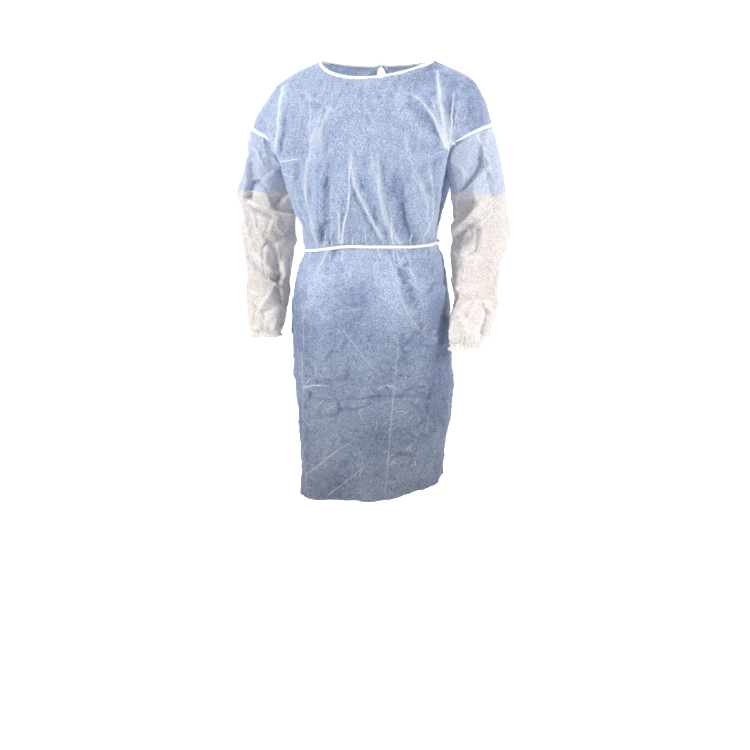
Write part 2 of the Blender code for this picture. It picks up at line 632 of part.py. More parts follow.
def make_neck_binding(grids):
    """A narrow binding folded over the neckline, from one back edge round the front to the other."""
    middle, reach = HALF_COLUMNS, HALF_COLUMNS - CHEST_CELLS
    back_columns = np.arange(BACK_CHEST_CELLS + BACK_NECK_CELLS, BACK_CHEST_CELLS - 1, -1)
    front_columns = np.arange(middle + reach, middle - reach - 1, -1)
    left = binding_stretch(grids, "left", back_columns, ((-1, -2),))
    front = binding_stretch(grids, "front", front_columns, ((0, 1), (-1, -2)))
    right = binding_stretch(grids, "right", back_columns[::-1], ((0, 1),))
    seams = []
    for column, step, back in ((middle + reach, 1, left), (middle - reach, -1, right)):
        point = grids["front"][-1, column]
        along = unit(grids["front"][-1, column + step] - point)
        beside = back[2][-1] if step == 1 else back[2][0]
        seams.append((point[None], along[None], (grids["front_normals"][-1, column] + beside)[None]))
    stretches = (left, seams[0], front, seams[1], right)
    points, down, normals = (np.concatenate([stretch[part] for stretch in stretches]) for part in range(3))
    normals = unit(normals)
    outer, inner = normals * (OUT + BINDING_LIFT), normals * (OUT + 2 * BINDING_LIFT)
    run = unit(np.gradient(points, axis=0))
    square = unit(down - run * (down * run).sum(axis=1, keepdims=True))
    rim = points - square * (RIM_CLEAR + TAPE_THICK / 2)
    low = points + down * BINDING_WIDTH
    rows = (low + outer, rim + outer, rim - inner, low - inner)
    sheet_object("neck_binding", rows, TAPE_THICK, material_of("neck_trim", "trim"))


def make_knot(name, knot, place):
    """A small flat knot, as a squashed ball."""
    mesh = bpy.data.meshes.new(name)
    body = bmesh.new()
    bmesh.ops.create_uvsphere(body, u_segments=KNOT_TURNS, v_segments=KNOT_RINGS, radius=1.0)
    bmesh.ops.scale(body, vec=tuple(knot), verts=body.verts)
    body.to_mesh(mesh)
    body.free()
    mesh.shade_smooth()
    mesh.materials.append(material_of(name + "_trim", "trim"))
    piece = bpy.data.objects.new(name, mesh)
    piece.location = place
    bpy.data.collections[GOWN].objects.link(piece)


def make_tails(name, back, knot, place, first_row, count, spread):
    """The two tails of a tie, from under its knot down the back."""
    lift = LAP_CLEAR + OUT + 2 * LIE_GAP
    for side, sign in SIDES.items():
        start = np.array(place) - np.array((-sign * knot.half_width / 2, 0.0, knot.half_height + LIE_GAP))
        centres = [start]
        for step, share in enumerate(np.linspace(*spread, count)):
            point, normal = back.read(first_row - step, sign * share)
            centres.append(point + normal * lift)
        half = np.array((TAIL_WIDTH / 2, 0.0, 0.0))
        grid = (np.array(centres) - half, np.array(centres) + half)
        tail = name + "_" + side
        sheet_object(tail, grid, TAPE_THICK, material_of(tail + "_trim", "trim"))


def make_ties(back):
    top = UNDERARM_ROW + YOKE_STEPS
    nape, outward = back.read(top, 0.0)
    nape = nape + outward * (NECK_KNOT.half_depth + LIE_GAP)
    make_knot("neck_knot", NECK_KNOT, nape)
    make_tails("neck_tail", back, NECK_KNOT, nape, top - 1, NECK_TAIL_ROWS, NECK_TAIL_SPREAD)
    waist, outward = back.read(TIE_ROW, 0.0)
    waist = waist + outward * (LAP_CLEAR + OUT + TAPE_THICK / 2 + LIE_GAP + WAIST_KNOT.half_depth)
    waist[2] = WAIST
    make_knot("waist_knot", WAIST_KNOT, waist)
    make_tails("waist_tail", back, WAIST_KNOT, waist, TIE_ROW - 1, WAIST_TAIL_ROWS, WAIST_TAIL_SPREAD)


def main():
    clear_scene()
    bpy.context.scene.collection.children.link(bpy.data.collections.new(GOWN))
    front = Side(-1, FRONT_YOKE, FRONT_FOLDS)
    back = Side(1, BACK_YOKE, BACK_FOLDS)
    front.shape(back)
    back.shape(front)
    grids = {"front": front.grid[:, ::FINE]}
    for side in SIDES:
        grids[side] = back_grid(side, back)
    grids["front_normals"] = normals_of(grids["front"], -1)
    grids["left_normals"] = normals_of(grids["left"][:, ::-1], 1)[:, ::-1]
    grids["right_normals"] = normals_of(grids["right"], 1)
    make_panel("front_panel", grids["front"], ((0, 1), (-1, -2)))
    make_panel("back_panel_left", grids["left"], ((0, 1),))
    make_panel("back_panel_right", grids["right"], ((0, 1),), turn=True)
    make_waist_tie(grids, back)
    make_neck_binding(grids)
    make_ties(back)
    for side in SIDES:
        make_sleeve(side, sleeve_grid(side))
        make_cuff(side)
        make_armhole_tape(side, grids)


main()
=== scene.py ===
# An isolation gown in its worn form, empty, seen from the photo's side
from math import cos, pi, radians, sin

import bpy
import numpy as np
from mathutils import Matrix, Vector
from mathutils.kdtree import KDTree


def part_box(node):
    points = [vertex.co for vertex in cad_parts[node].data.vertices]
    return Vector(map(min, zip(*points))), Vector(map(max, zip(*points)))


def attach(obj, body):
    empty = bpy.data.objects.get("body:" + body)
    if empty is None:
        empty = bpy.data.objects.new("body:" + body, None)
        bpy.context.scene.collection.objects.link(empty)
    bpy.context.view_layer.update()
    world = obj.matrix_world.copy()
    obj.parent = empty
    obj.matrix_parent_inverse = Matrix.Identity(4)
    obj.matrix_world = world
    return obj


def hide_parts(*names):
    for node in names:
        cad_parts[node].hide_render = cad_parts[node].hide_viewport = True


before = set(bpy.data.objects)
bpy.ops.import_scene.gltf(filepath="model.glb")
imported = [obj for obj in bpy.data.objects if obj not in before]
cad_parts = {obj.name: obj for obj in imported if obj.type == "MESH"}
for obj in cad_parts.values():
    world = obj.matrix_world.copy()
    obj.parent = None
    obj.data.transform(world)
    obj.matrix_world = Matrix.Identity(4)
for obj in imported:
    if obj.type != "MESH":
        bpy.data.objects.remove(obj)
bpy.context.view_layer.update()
print("frame loaded with", len(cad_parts), "nodes")

# Camera
camera = {"distance": 3.4, "azimuth": 10.0, "height": -0.10, "pitch": 10.72, "lens": 68.64, "shift": 0.0053}
turn = radians(camera["azimuth"])
lens = bpy.data.cameras.new("photoView")
lens.lens = camera["lens"]
lens.shift_x = camera["shift"]
eye = bpy.data.objects.new("photoView", lens)
eye.location = (camera["distance"] * sin(turn), -camera["distance"] * cos(turn), camera["height"])
eye.rotation_euler = (radians(90 - camera["pitch"]), 0, turn)
bpy.context.collection.objects.link(eye)
bpy.context.scene.camera = eye


# Curves and steps
def unit(v):
    return v / np.maximum(np.linalg.norm(v, axis=-1, keepdims=True), 1e-12)


def smoothStep(low, high, value):
    t = np.clip((value - low) / (high - low), 0.0, 1.0)
    return t * t * (3 - 2 * t)


def hump(off, width):
    return np.exp(-((off / width) ** 2))


def lengthAlong(points):
    return np.concatenate([[0.0], np.cumsum(np.linalg.norm(np.diff(points, axis=0), axis=1))])


def evenly(points, count):
    along = lengthAlong(points)
    wanted = np.linspace(0.0, along[-1], count)
    return np.stack([np.interp(wanted, along, points[:, axis]) for axis in range(3)], axis=1)


def throughPoints(knots, points, tangents, wanted):
    column = (-1,) + (1,) * (points.ndim - 1)
    cell = np.clip(np.searchsorted(knots, wanted, side="right") - 1, 0, len(knots) - 2)
    span = np.diff(knots).reshape(column)[cell]
    t = (wanted - knots[cell]).reshape(column) / span
    start = (1 + 2 * t) * (1 - t) ** 2 * points[cell] + t * (1 - t) ** 2 * span * tangents[cell]
    end = t * t * (3 - 2 * t) * points[cell + 1] + t * t * (t - 1) * span * tangents[cell + 1]
    return start + end


def spline(knots, points, wanted):  # never swings past its points
    points = np.asarray(points, float)
    spans = np.diff(knots).reshape((-1,) + (1,) * (points.ndim - 1))
    slopes = np.diff(points, axis=0) / spans
    before, after = slopes[:-1], slopes[1:]
    weight = (spans[:-1] + 2 * spans[1:]) / (3 * (spans[:-1] + spans[1:]))
    sameWay = before * after > 0
    blend = np.where(sameWay, weight * after + (1 - weight) * before, 1.0)
    tangents = np.empty_like(points)
    tangents[1:-1] = np.where(sameWay, before * after / blend, 0.0)
    tangents[0] = 1.5 * slopes[0] - 0.5 * tangents[1]
    tangents[-1] = 1.5 * slopes[-1] - 0.5 * tangents[-2]
    return throughPoints(knots, points, tangents, wanted)


def curvePath(points, count=24):
    points = np.asarray(points, float)
    along = lengthAlong(points)
    tangents = np.gradient(points, along, axis=0)
    return throughPoints(along, points, tangents, np.linspace(0, along[-1], count))


def smoothPath(path):
    for _ in range(3):
        path[1:-1] = (path[:-2] + 2 * path[1:-1] + path[2:]) / 4
    return path


def rowKnots(rows):
    steps = np.linalg.norm(np.diff(rows, axis=0), axis=2).mean(axis=1)
    return np.concatenate([[0.0], np.cumsum(steps)])


def normalsOf(grid, way):
    return unit(np.cross(np.gradient(grid, axis=1), np.gradient(grid, axis=0)) * -way)


# The body's form, as in the solids
signs = {"left": 1, "right": -1}
hem, waist, underarm = -1.020, -0.421, -0.222
sections = (  # level, centre, half width, front, back, squareness, tuck under the arm
    (hem, 0.004, 0.167, 0.142, 0.127, 3.4, 0.00),
    (-0.940, 0.009, 0.171, 0.144, 0.128, 3.1, 0.00),
    (-0.850, 0.011, 0.180, 0.145, 0.129, 2.8, 0.00),
    (-0.760, 0.009, 0.187, 0.145, 0.130, 2.7, 0.00),
    (-0.670, 0.004, 0.190, 0.143, 0.131, 2.6, 0.00),
    (-0.580, 0.000, 0.187, 0.140, 0.130, 2.5, 0.00),
    (-0.510, 0.001, 0.178, 0.134, 0.122, 2.4, 0.00),
    (-0.455, 0.003, 0.168, 0.127, 0.112, 2.3, 0.00),
    (waist, 0.001, 0.157, 0.119, 0.104, 2.3, 0.00),
    (-0.395, 0.002, 0.162, 0.125, 0.109, 2.3, 0.03),
    (-0.355, 0.000, 0.177, 0.130, 0.114, 2.6, 0.09),
    (-0.300, -0.006, 0.203, 0.133, 0.120, 3.0, 0.20),
    (underarm, -0.010, 0.221, 0.131, 0.120, 3.2, 0.28),
)
frontYoke = (  # rise, shift; half width, depth, level of corner and chest; depth, level of the middle
    (0.2, -0.006, 0.206, 0.088, -0.190, 0.127, 0.119, -0.180, 0.130, -0.188),
    (0.4, -0.002, 0.211, 0.088, -0.156, 0.138, 0.111, -0.140, 0.127, -0.151),
    (0.6, 0.003, 0.217, 0.076, -0.122, 0.148, 0.094, -0.101, 0.120, -0.115),
    (0.8, 0.008, 0.228, 0.048, -0.085, 0.158, 0.060, -0.060, 0.108, -0.079),
    (1.0, 0.013, 0.233, -0.003, -0.054, 0.130, -0.002, 0.000, 0.090, -0.039),
)
backYoke = (
    (0.2, 0.000, 0.203, 0.082, -0.190, 0.124, 0.117, -0.180, 0.125, -0.180),
    (0.4, 0.002, 0.208, 0.084, -0.156, 0.137, 0.113, -0.140, 0.124, -0.140),
    (0.6, 0.005, 0.215, 0.077, -0.122, 0.147, 0.099, -0.101, 0.117, -0.098),
    (0.8, 0.008, 0.228, 0.053, -0.085, 0.158, 0.067, -0.060, 0.098, -0.053),
    (1.0, 0.013, 0.233, 0.003, -0.054, 0.130, 0.002, 0.000, 0.064, -0.012),
)
body = {
    "tuckReach": 0.060, "corner": 1 - 6 / 18, "chest": 1 - 11 / 18,  # shares of the half width
    "neckLean": -0.020, "neckRound": 1.5, "swing": 1.3, "levelSwing": 0.75,
    "armholes": {"left": (0.284, 0.006, -0.152, 0.068), "right": (0.285, 0.006, -0.158, 0.068)},
}
uneven = {  # the tie and the hem don't hang level
    "from": 0.020, "to": 0.170, "tie": -0.018, "tieReach": 0.070,
    "hemLeft": 0.029, "hemRight": -0.009, "hemReach": 0.260,
}
frontFolds = (  # across and level of the upper and lower end, bow, half width, rise
    (-0.116, -0.110, -0.122, -0.425, -0.022, 0.016, 0.0090),
    (-0.086, -0.190, -0.098, -0.425, -0.012, 0.014, -0.0060),
    (-0.036, -0.225, -0.052, -0.420, 0.006, 0.014, 0.0055),
    (0.010, -0.215, 0.076, -0.420, -0.010, 0.017, 0.0065),
    (0.072, -0.240, 0.112, -0.420, 0.004, 0.014, -0.0065),
    (0.128, -0.230, 0.140, -0.420, 0.004, 0.016, 0.0055),
    (0.184, -0.196, 0.064, -0.070, -0.010, 0.014, 0.0070),
    (0.194, -0.190, 0.160, -0.030, 0.002, 0.013, 0.0075),
    (0.214, -0.188, 0.220, -0.080, 0.000, 0.012, 0.0055),
    (-0.212, -0.085, -0.205, -0.260, 0.004, 0.014, 0.0080),
    (-0.090, -0.452, -0.158, -0.600, -0.012, 0.015, 0.0065),
    (-0.050, -0.452, -0.060, -0.520, 0.000, 0.014, -0.0035),
    (0.038, -0.452, 0.080, -0.660, -0.016, 0.017, 0.0065),
    (0.084, -0.452, 0.116, -0.560, -0.006, 0.014, -0.0045),
    (-0.152, -0.560, -0.150, -1.060, 0.004, 0.018, 0.0045),
    (0.022, -0.640, -0.012, -1.060, 0.004, 0.020, 0.0030),
)
backFolds = (
    (-0.120, -0.130, -0.108, -0.425, 0.010, 0.016, 0.0080),
    (-0.084, -0.210, -0.068, -0.425, -0.006, 0.014, -0.0055),
    (0.125, -0.140, 0.100, -0.425, -0.010, 0.016, 0.0080),
    (0.090, -0.230, 0.066, -0.425, 0.006, 0.014, -0.0055),
    (-0.106, -0.452, -0.135, -0.660, 0.008, 0.016, 0.0070),
    (-0.070, -0.452, -0.084, -0.560, 0.000, 0.014, -0.0050),
    (0.104, -0.452, 0.140, -0.680, -0.008, 0.016, 0.0070),
    (0.070, -0.452, 0.084, -0.570, 0.000, 0.014, -0.0050),
    (-0.150, -0.620, -0.140, -1.060, 0.004, 0.018, 0.0050),
    (0.150, -0.620, 0.146, -1.060, -0.004, 0.018, 0.0050),
)
fine = {
    "cell": 0.0028, "frontColumns": 221, "bodyRows": 290, "yokeRows": 93,
    "backColumns": 128, "sleeveColumns": 148, "sleeveRows": 186,
}
neckEase = {"rows": 44, "share": 1 / 16, "rounds": 120}


def sectionRow(section, way, count):
    level, centre, halfWidth, front, back, squareness, tuck = section
    angle = np.linspace(pi, 0.0, 2 * count)
    power = 2 / squareness
    deep = (front if way < 0 else back) * np.abs(np.sin(angle)) ** power
    across = np.sign(np.cos(angle)) * np.abs(np.cos(angle)) ** power * halfWidth
    across = across * (1 - tuck * hump(deep, body["tuckReach"]))
    return evenly(np.stack([centre + across, way * deep, np.full_like(angle, level)], axis=1), count)


def armholePoint(side, way, rise):
    topOut, topBack, topLevel, depth = body["armholes"][side]
    level, centre, halfWidth, *_, tuck = sections[-1]
    inner = halfWidth * (1 - tuck) + signs[side] * centre
    swing = np.sin(pi * rise / 2) ** body["swing"]
    out = inner + (topOut - inner) * swing
    back = topBack * swing + way * depth * np.sin(pi * rise)
    return np.array((signs[side] * out, back, level + (topLevel - level) * swing ** body["levelSwing"]))


def yokeRow(yoke, way, shares):
    rise, shift, *corners, chestHalf, chestDepth, chestLevel, middleDepth, middleLevel = yoke
    cornerHalf, cornerDepth, cornerLevel = corners
    keys = {}
    for side, sign in signs.items():
        corner = (shift + sign * cornerHalf, way * cornerDepth, cornerLevel)
        chest = (shift + sign * chestHalf, way * chestDepth, chestLevel)
        keys[side] = (armholePoint(side, way, rise), corner, chest)
    half = np.array((1.0, body["corner"], body["chest"]))
    if rise < 1:
        knots = np.concatenate([-half, [0.0], half[::-1]])
        middle = (shift, way * middleDepth, middleLevel)
        return spline(knots, np.array((*keys["right"], middle, *keys["left"][::-1])), shares)
    row = np.empty((len(shares), 3))
    right, left = shares < -body["chest"], shares > body["chest"]
    row[right] = spline(-half, keys["right"], shares[right])
    row[left] = spline(half[::-1], keys["left"][::-1], shares[left])
    neck = ~right & ~left
    angle = pi / 2 * (1 - shares[neck] / body["chest"])
    lean = body["neckLean"] if way < 0 else 0.0
    across = shift + chestHalf * np.cos(angle) + lean * np.sin(angle) ** 2
    deep = chestDepth + (middleDepth - chestDepth) * np.sin(angle)
    row[neck] = np.stack([across, way * deep, middleLevel * np.sin(angle) ** body["neckRound"]], axis=1)
    return row


def unevenLevel(points):
    across, level = points[..., 0], points[..., 2]
    right, left = (smoothStep(uneven["from"], uneven["to"], sign * across) for sign in (-1, 1))
    tie = uneven["tie"] * right * hump(level - waist, uneven["tieReach"])
    foot = uneven["hemLeft"] * left + uneven["hemRight"] * right
    return tie + foot * smoothStep(hem + uneven["hemReach"], hem, level)


def foldHeight(folds, points):
    lift = np.zeros(points.shape[:-1])
    for xTop, zTop, xFoot, zFoot, bow, width, rise in folds:
        runX, runZ = xFoot - xTop, zFoot - zTop
        length = np.hypot(runX, runZ)
        fromX, fromZ = points[..., 0] - xTop, points[..., 2] - zTop
        along = (fromX * runX + fromZ * runZ) / length**2
        off = (fromX * runZ - fromZ * runX) / length - bow * np.sin(pi * np.clip(along, 0.0, 1.0))
        ends = smoothStep(-0.02, 0.30, along) * smoothStep(1.02, 0.75, along)
        lift += rise * ends * hump(off, width)
    return lift


def bodySide(way, yokes, otherYokes, folds, columns):
    shares = np.linspace(-1.0, 1.0, columns)
    rows = [sectionRow(s, way, columns) for s in sections] + [yokeRow(y, way, shares) for y in yokes]
    over = (np.abs(shares) > body["chest"])[:, None]
    rows.append(np.where(over, yokeRow(otherYokes[-2], -way, shares), 2 * rows[-1] - rows[-2]))
    knots = rowKnots(np.array(rows))
    below = len(sections)
    lower = np.linspace(0, knots[below - 1], fine["bodyRows"] + 1)
    upper = np.linspace(knots[below - 1], knots[-2], fine["yokeRows"] + 1)
    places = np.concatenate([lower, upper[1:]])
    tiePlace = np.interp(waist, [s[0] for s in sections], knots[:below])
    tieRow = int(np.argmin(np.abs(places - tiePlace)))
    return {"way": way, "folds": folds, "shares": shares, "rows": np.array(rows), "knots": knots,
            "places": places, "tiePlace": tiePlace, "tieRow": tieRow}


def sampleSide(side, places):
    grid = spline(side["knots"], side["rows"], places)
    grid[..., 2] += unevenLevel(grid)
    normals = normalsOf(grid, side["way"])
    facing = smoothStep(0.15, 0.60, side["way"] * normals[..., 1])
    return grid + normals * (facing * foldHeight(side["folds"], grid))[..., None], normals


def easedSide(side):  # the loft's kink below each end of the neck is ironed out, its rim is kept
    grid = sampleSide(side, side["places"])[0]
    columns = grid.shape[1]
    half = int(columns * neckEase["share"])
    down = np.linspace(0, 1, neckEase["rows"] - 1)[:-1, None]
    over = np.abs(np.linspace(-1, 1, 2 * half))[None, 1:-1]
    mask = (smoothStep(0.0, 0.4, down) * smoothStep(1.0, 0.5, over))[..., None]
    for sign in (-1, 1):
        middle = int((1 + sign * body["chest"]) / 2 * (columns - 1))
        patch = grid[-neckEase["rows"] :, middle - half : middle + half]
        for _ in range(neckEase["rounds"]):
            mean = (patch[:-2, 1:-1] + patch[2:, 1:-1] + patch[1:-1, :-2] + patch[1:-1, 2:]) / 4
            patch[1:-1, 1:-1] += mask * (mean - patch[1:-1, 1:-1])
    return grid, normalsOf(grid, side["way"])


frontSide = bodySide(-1, frontYoke, backYoke, frontFolds, fine["frontColumns"])
backSide = bodySide(1, backYoke, frontYoke, backFolds, 2 * fine["frontColumns"] - 1)
print("body form ready")

# Creases: each is pressed up or down along a path of rows and columns on a sheet
noise = np.random.default_rng(7)
perMetre = 1000  # the tables of creases are in millimetres
pressing = {
    "reach": 4.0, "steep": 0.35, "tip": 0.25, "strength": 1.35,  # reach and halo are shares of the width
    "halo": 0.45, "leastHalo": 0.0024, "pale": 0.3, "paler": 0.5, "wideFrom": 0.0045, "wideSpan": 0.004,
    "lined": 0.12, "lineWidth": (0.0018, 0.0016), "lineWhite": 0.25,
}


def startSheet(grid, normals, ring=False):
    # white whitens creases and paints highlight, deep paints shade, broad adds tone from fold height and random
    # ripples
    layers = {key: np.zeros(grid.shape[:2]) for key in ("lift", "white", "deep", "broad")}
    return {"grid": grid, "normals": normals, "ring": ring, "lines": [], **layers}


def onGrid(sheet, place, key="grid"):
    g = sheet[key]
    rows, columns = g.shape[:2]
    row = np.clip(place[:, 0], 0, rows - 1.001)
    column = place[:, 1] % columns if sheet["ring"] else np.clip(place[:, 1], 0, columns - 1.001)
    r, c = np.floor(row).astype(int), np.floor(column).astype(int)
    tr, tc = (row - r)[..., None], (column - c)[..., None]
    c2 = (c + 1) % columns
    return (1 - tr) * ((1 - tc) * g[r, c] + tc * g[r, c2]) + tr * ((1 - tc) * g[r + 1, c] + tc * g[r + 1, c2])


def crossSection(kind, off, width):
    if kind == "soft":
        return hump(off, width)
    if kind == "lip":  # steep on one side, as the edge of a pleat
        steep = np.maximum(pressing["steep"] * width, fine["cell"])
        return np.where(off > 0, np.exp(-off / width), np.exp(off / steep))
    tip = pressing["tip"] * width
    return np.exp(-(np.sqrt(off**2 + tip**2) - tip) / width)


def press(sheet, place, width, rise, kind="ridge", fades=(0.2, 0.3), white=0.0):
    path, widths = onGrid(sheet, place), np.broadcast_to(width, 2)
    points, normals = sheet["grid"].reshape(-1, 3), sheet["normals"].reshape(-1, 3)
    reach = pressing["reach"] * widths.max()
    inside = (points > path.min(axis=0) - reach) & (points < path.max(axis=0) + reach)
    near = np.all(inside, axis=1).nonzero()[0]
    if not len(near):
        return
    run = np.diff(path, axis=0)
    length = np.linalg.norm(run, axis=1)
    fromStart = points[near][:, None] - path[None, :-1]
    t = np.clip((fromStart * run).sum(axis=2) / np.maximum(length**2, 1e-12), 0.0, 1.0)
    away = fromStart - run * t[..., None]
    gap = np.linalg.norm(away, axis=2)
    best = gap.argmin(axis=1)
    pick = np.arange(len(near)), best
    sideways = np.cross(run[best], normals[near])
    off = gap[pick] * np.sign((away[pick] * sideways).sum(axis=1))
    start = np.concatenate([[0.0], np.cumsum(length)])
    along = (start[best] + t[pick] * length[best]) / start[-1]
    width = widths[0] + (widths[1] - widths[0]) * along
    strength = np.ones_like(along)
    if fades[0]:
        strength *= smoothStep(0.0, fades[0], along)
    if fades[1]:
        strength *= smoothStep(1.0, 1.0 - fades[1], along)
    sheet["lift"].reshape(-1)[near] += rise * strength * crossSection(kind, off, width)
    # paler along raised creases: partly the cloth lying double, partly painted highlight
    if white:
        broader = np.clip((width - pressing["wideFrom"]) / pressing["wideSpan"], 0, 1)
        halo = abs(white) * (pressing["pale"] + pressing["paler"] * broader) * strength
        # a negative whitening is painted shade along the crease instead
        layer = sheet["white"] if white > 0 else sheet["deep"]
        wide = np.maximum(pressing["halo"] * width, pressing["leastHalo"])
        layer.reshape(-1)[near] += halo * hump(off, wide)


def bodyFinder(sheet, way):
    facing = (way * sheet["normals"][..., 1] > 0.05).reshape(-1).nonzero()[0]
    points = sheet["grid"].reshape(-1, 3)
    tree = KDTree(len(facing))
    for index in facing:
        tree.insert((points[index, 0], 0.0, points[index, 2]), int(index))
    tree.balance()
    columns = sheet["grid"].shape[1]

    def find(path):
        return smoothPath(np.array([divmod(tree.find((x, 0.0, z))[1], columns) for x, z in path], float))

    return find


def pressAcross(sheet, find, creases):
    for points, width, rise, kind, fades, white in creases:
        place = find(curvePath(np.array(points) / perMetre, 48))
        up = pressing["strength"] * rise / perMetre
        press(sheet, place, np.array(width) / perMetre, up, kind, fades, white)
        if abs(white) > pressing["lined"]:
            least, more = pressing["lineWidth"]
            pale = min(1.0, pressing["lineWhite"] + white)
            sheet["lines"].append((place, least + more * abs(white), fades, pale))
    sheet["pleats"] = sheet["lift"].copy()


small = {  # steps are counted in cells, angles in radians
    "apart": 0.4, "step": 9, "kinks": (1, 4), "bend": 0.5, "perKink": 4,
    "height": (0.4, 1.3), "width": (0.7, 1.4), "fades": (0.35, 0.4),
    "line": (0.0018, 0.0034), "lineFades": (0.4, 0.45), "pale": (0.4, 1),
}


def randomCreases(sheet, count, long, width, rise, lean, spread, white, rows, columns=(0.0, 1.0)):
    shape = sheet["grid"].shape
    row = column = None
    for _ in range(count):  # they come in clusters
        if row is None or noise.uniform() < small["apart"]:
            row, column = noise.uniform(*rows) * shape[0], noise.uniform(*columns) * shape[1]
        else:
            row, column = row + noise.normal(0, small["step"]), column + noise.normal(0, small["step"])
        kinks = int(noise.integers(*small["kinks"]))
        length = noise.uniform(*long)
        heading = radians(noise.normal(lean, spread)) + np.cumsum(noise.normal(0, small["bend"], kinks))
        headings = np.repeat(heading, small["perKink"])
        steps = length / len(headings) / fine["cell"]
        r = row + np.cumsum(np.cos(headings)) * steps
        c = column + np.cumsum(np.sin(headings)) * steps
        offRows = r.min() < 1 or r.max() > shape[0] - 2
        if offRows or (not sheet["ring"] and (c.min() < 3 or c.max() > shape[1] - 4)):
            continue
        place = np.stack([r, c], axis=1)
        up = rise * noise.uniform(*small["height"]) * noise.choice((-0.5, 1, 1))
        kind = noise.choice(("ridge", "lip", "soft"))
        press(sheet, place, width * noise.uniform(*small["width"]), up, kind, small["fades"])
        if up > 0:
            wide = noise.uniform(*small["line"])
            sheet["lines"].append((place, wide, small["lineFades"], white * noise.uniform(*small["pale"])))


tieFolds = {
    "long": (0.015, 0.070), "drift": 0.22, "first": 1.2, "rise": (0.0008, 0.0036),
    "width": (0.0022, 0.0055), "white": (0, 0.45), "fades": (0.0, 0.6),
    "lined": 0.0012, "line": (0.0022, 0.0036), "lineWhite": (0.4, 0.9),
}


def tieGathers(sheet, row, count, seed):
    gathers = np.random.default_rng(seed)
    steps = np.linspace(0, 1, 9)
    for _ in range(count):
        column = gathers.uniform(0, sheet["grid"].shape[1])
        way = gathers.choice((-1, 1))
        length = gathers.uniform(*tieFolds["long"]) / fine["cell"]
        drift = gathers.normal(0, tieFolds["drift"]) * length
        down = tieFolds["first"] + steps * length
        place = np.stack([row + way * down, column + steps**1.5 * drift], axis=1)
        rise, fades = gathers.uniform(*tieFolds["rise"]) * gathers.choice((-1, 1)), tieFolds["fades"]
        width, white = gathers.uniform(*tieFolds["width"]), gathers.uniform(*tieFolds["white"])
        press(sheet, place, width, rise, "ridge", fades, white)
        if rise > tieFolds["lined"]:
            wide, pale = gathers.uniform(*tieFolds["line"]), gathers.uniform(*tieFolds["lineWhite"])
            sheet["lines"].append((place, wide, fades, pale))


def ripple(points, size, strength, seed):
    waves = np.random.default_rng(seed)
    total = np.zeros(points.shape[:-1])
    for _ in range(9):
        way = unit(waves.normal(size=3)) * (1, 1, 0.6)
        total += np.sin(points @ way * 2 * pi / (size * waves.uniform(0.7, 1.6)) + waves.uniform(0, 2 * pi))
    return total * strength / 3


patchy = {"size": 4, "wander": 0.35, "from": -0.05, "to": 0.5}  # size is a multiple of the fold's own


def crush(sheet, mask, sizes, slope, seed, lean):  # straight folds of many sizes, each only in patches
    waves = np.random.default_rng(seed)
    points = sheet["grid"]
    for number, size in enumerate(sizes):
        way = unit(waves.normal(size=3) * lean)
        broad, own = size * patchy["size"], seed + 10 * number
        phase = points @ way / size + ripple(points, broad, patchy["wander"], own) + waves.uniform()
        zigzag = np.abs(phase % 1.0 * 2 - 1) - 0.5
        patch = smoothStep(patchy["from"], patchy["to"], ripple(points, broad, 1.0, own + 5)) * mask
        sheet["lift"] += slope / 2 * size * zigzag * patch


def facets(sheet, mask, size, tilt, seed, stretch, soft=0.3):
    pick = np.random.default_rng(seed)  # flat patches that lean different ways, with sharp folds between them
    points = sheet["grid"].reshape(-1, 3) * np.array(stretch)
    count = int(len(points) * fine["cell"] ** 2 * np.prod(stretch) / size**2)
    centres = points[pick.permutation(len(points))[:count]]
    leans = pick.normal(0, tilt, (count, 3))
    tree = KDTree(count)
    for index, centre in enumerate(centres):
        tree.insert(centre, index)
    tree.balance()
    found = [tree.find_n(point, 2) for point in points]
    nearest = np.array([pair[0][1] for pair in found])
    margin = np.array([pair[1][2] - pair[0][2] for pair in found])
    height = ((points - centres[nearest]) * leans[nearest]).sum(axis=1)
    height *= np.minimum(1.0, margin / (soft * size))
    sheet["lift"] += height.reshape(sheet["lift"].shape) * mask


def crumple(sheet, finish, mask=1.0, number=0):
    for sizes, slope, seed, lean in finish["crushed"]:
        crush(sheet, mask, sizes, slope, seed + number, lean)
    for size, tilt, seed, *rest in finish["facets"]:
        facets(sheet, mask, size, tilt, seed + number, *rest)


def smoothed(values, ring, reach):
    weights = hump(np.arange(-2 * reach, 2 * reach + 1), reach)
    weights /= weights.sum()
    for axis in (0, 1):
        pad = [(0, 0), (0, 0)]
        pad[axis] = (2 * reach, 2 * reach)
        wide = np.pad(values, pad, mode="wrap" if ring and axis else "edge")
        length = values.shape[axis]
        values = sum(w * np.take(wide, range(k, k + length), axis=axis) for k, w in enumerate(weights))
    return values


# Slim raised ridges on the sharp edges of folds, with painted highlight on the flank towards the light and
# painted shade on the other flank
ridge = {"step": 0.0034, "sunk": 0.0002, "steep": 0.30, "offset": 0.14, "light": (-0.75, -0.50, 0.45)}


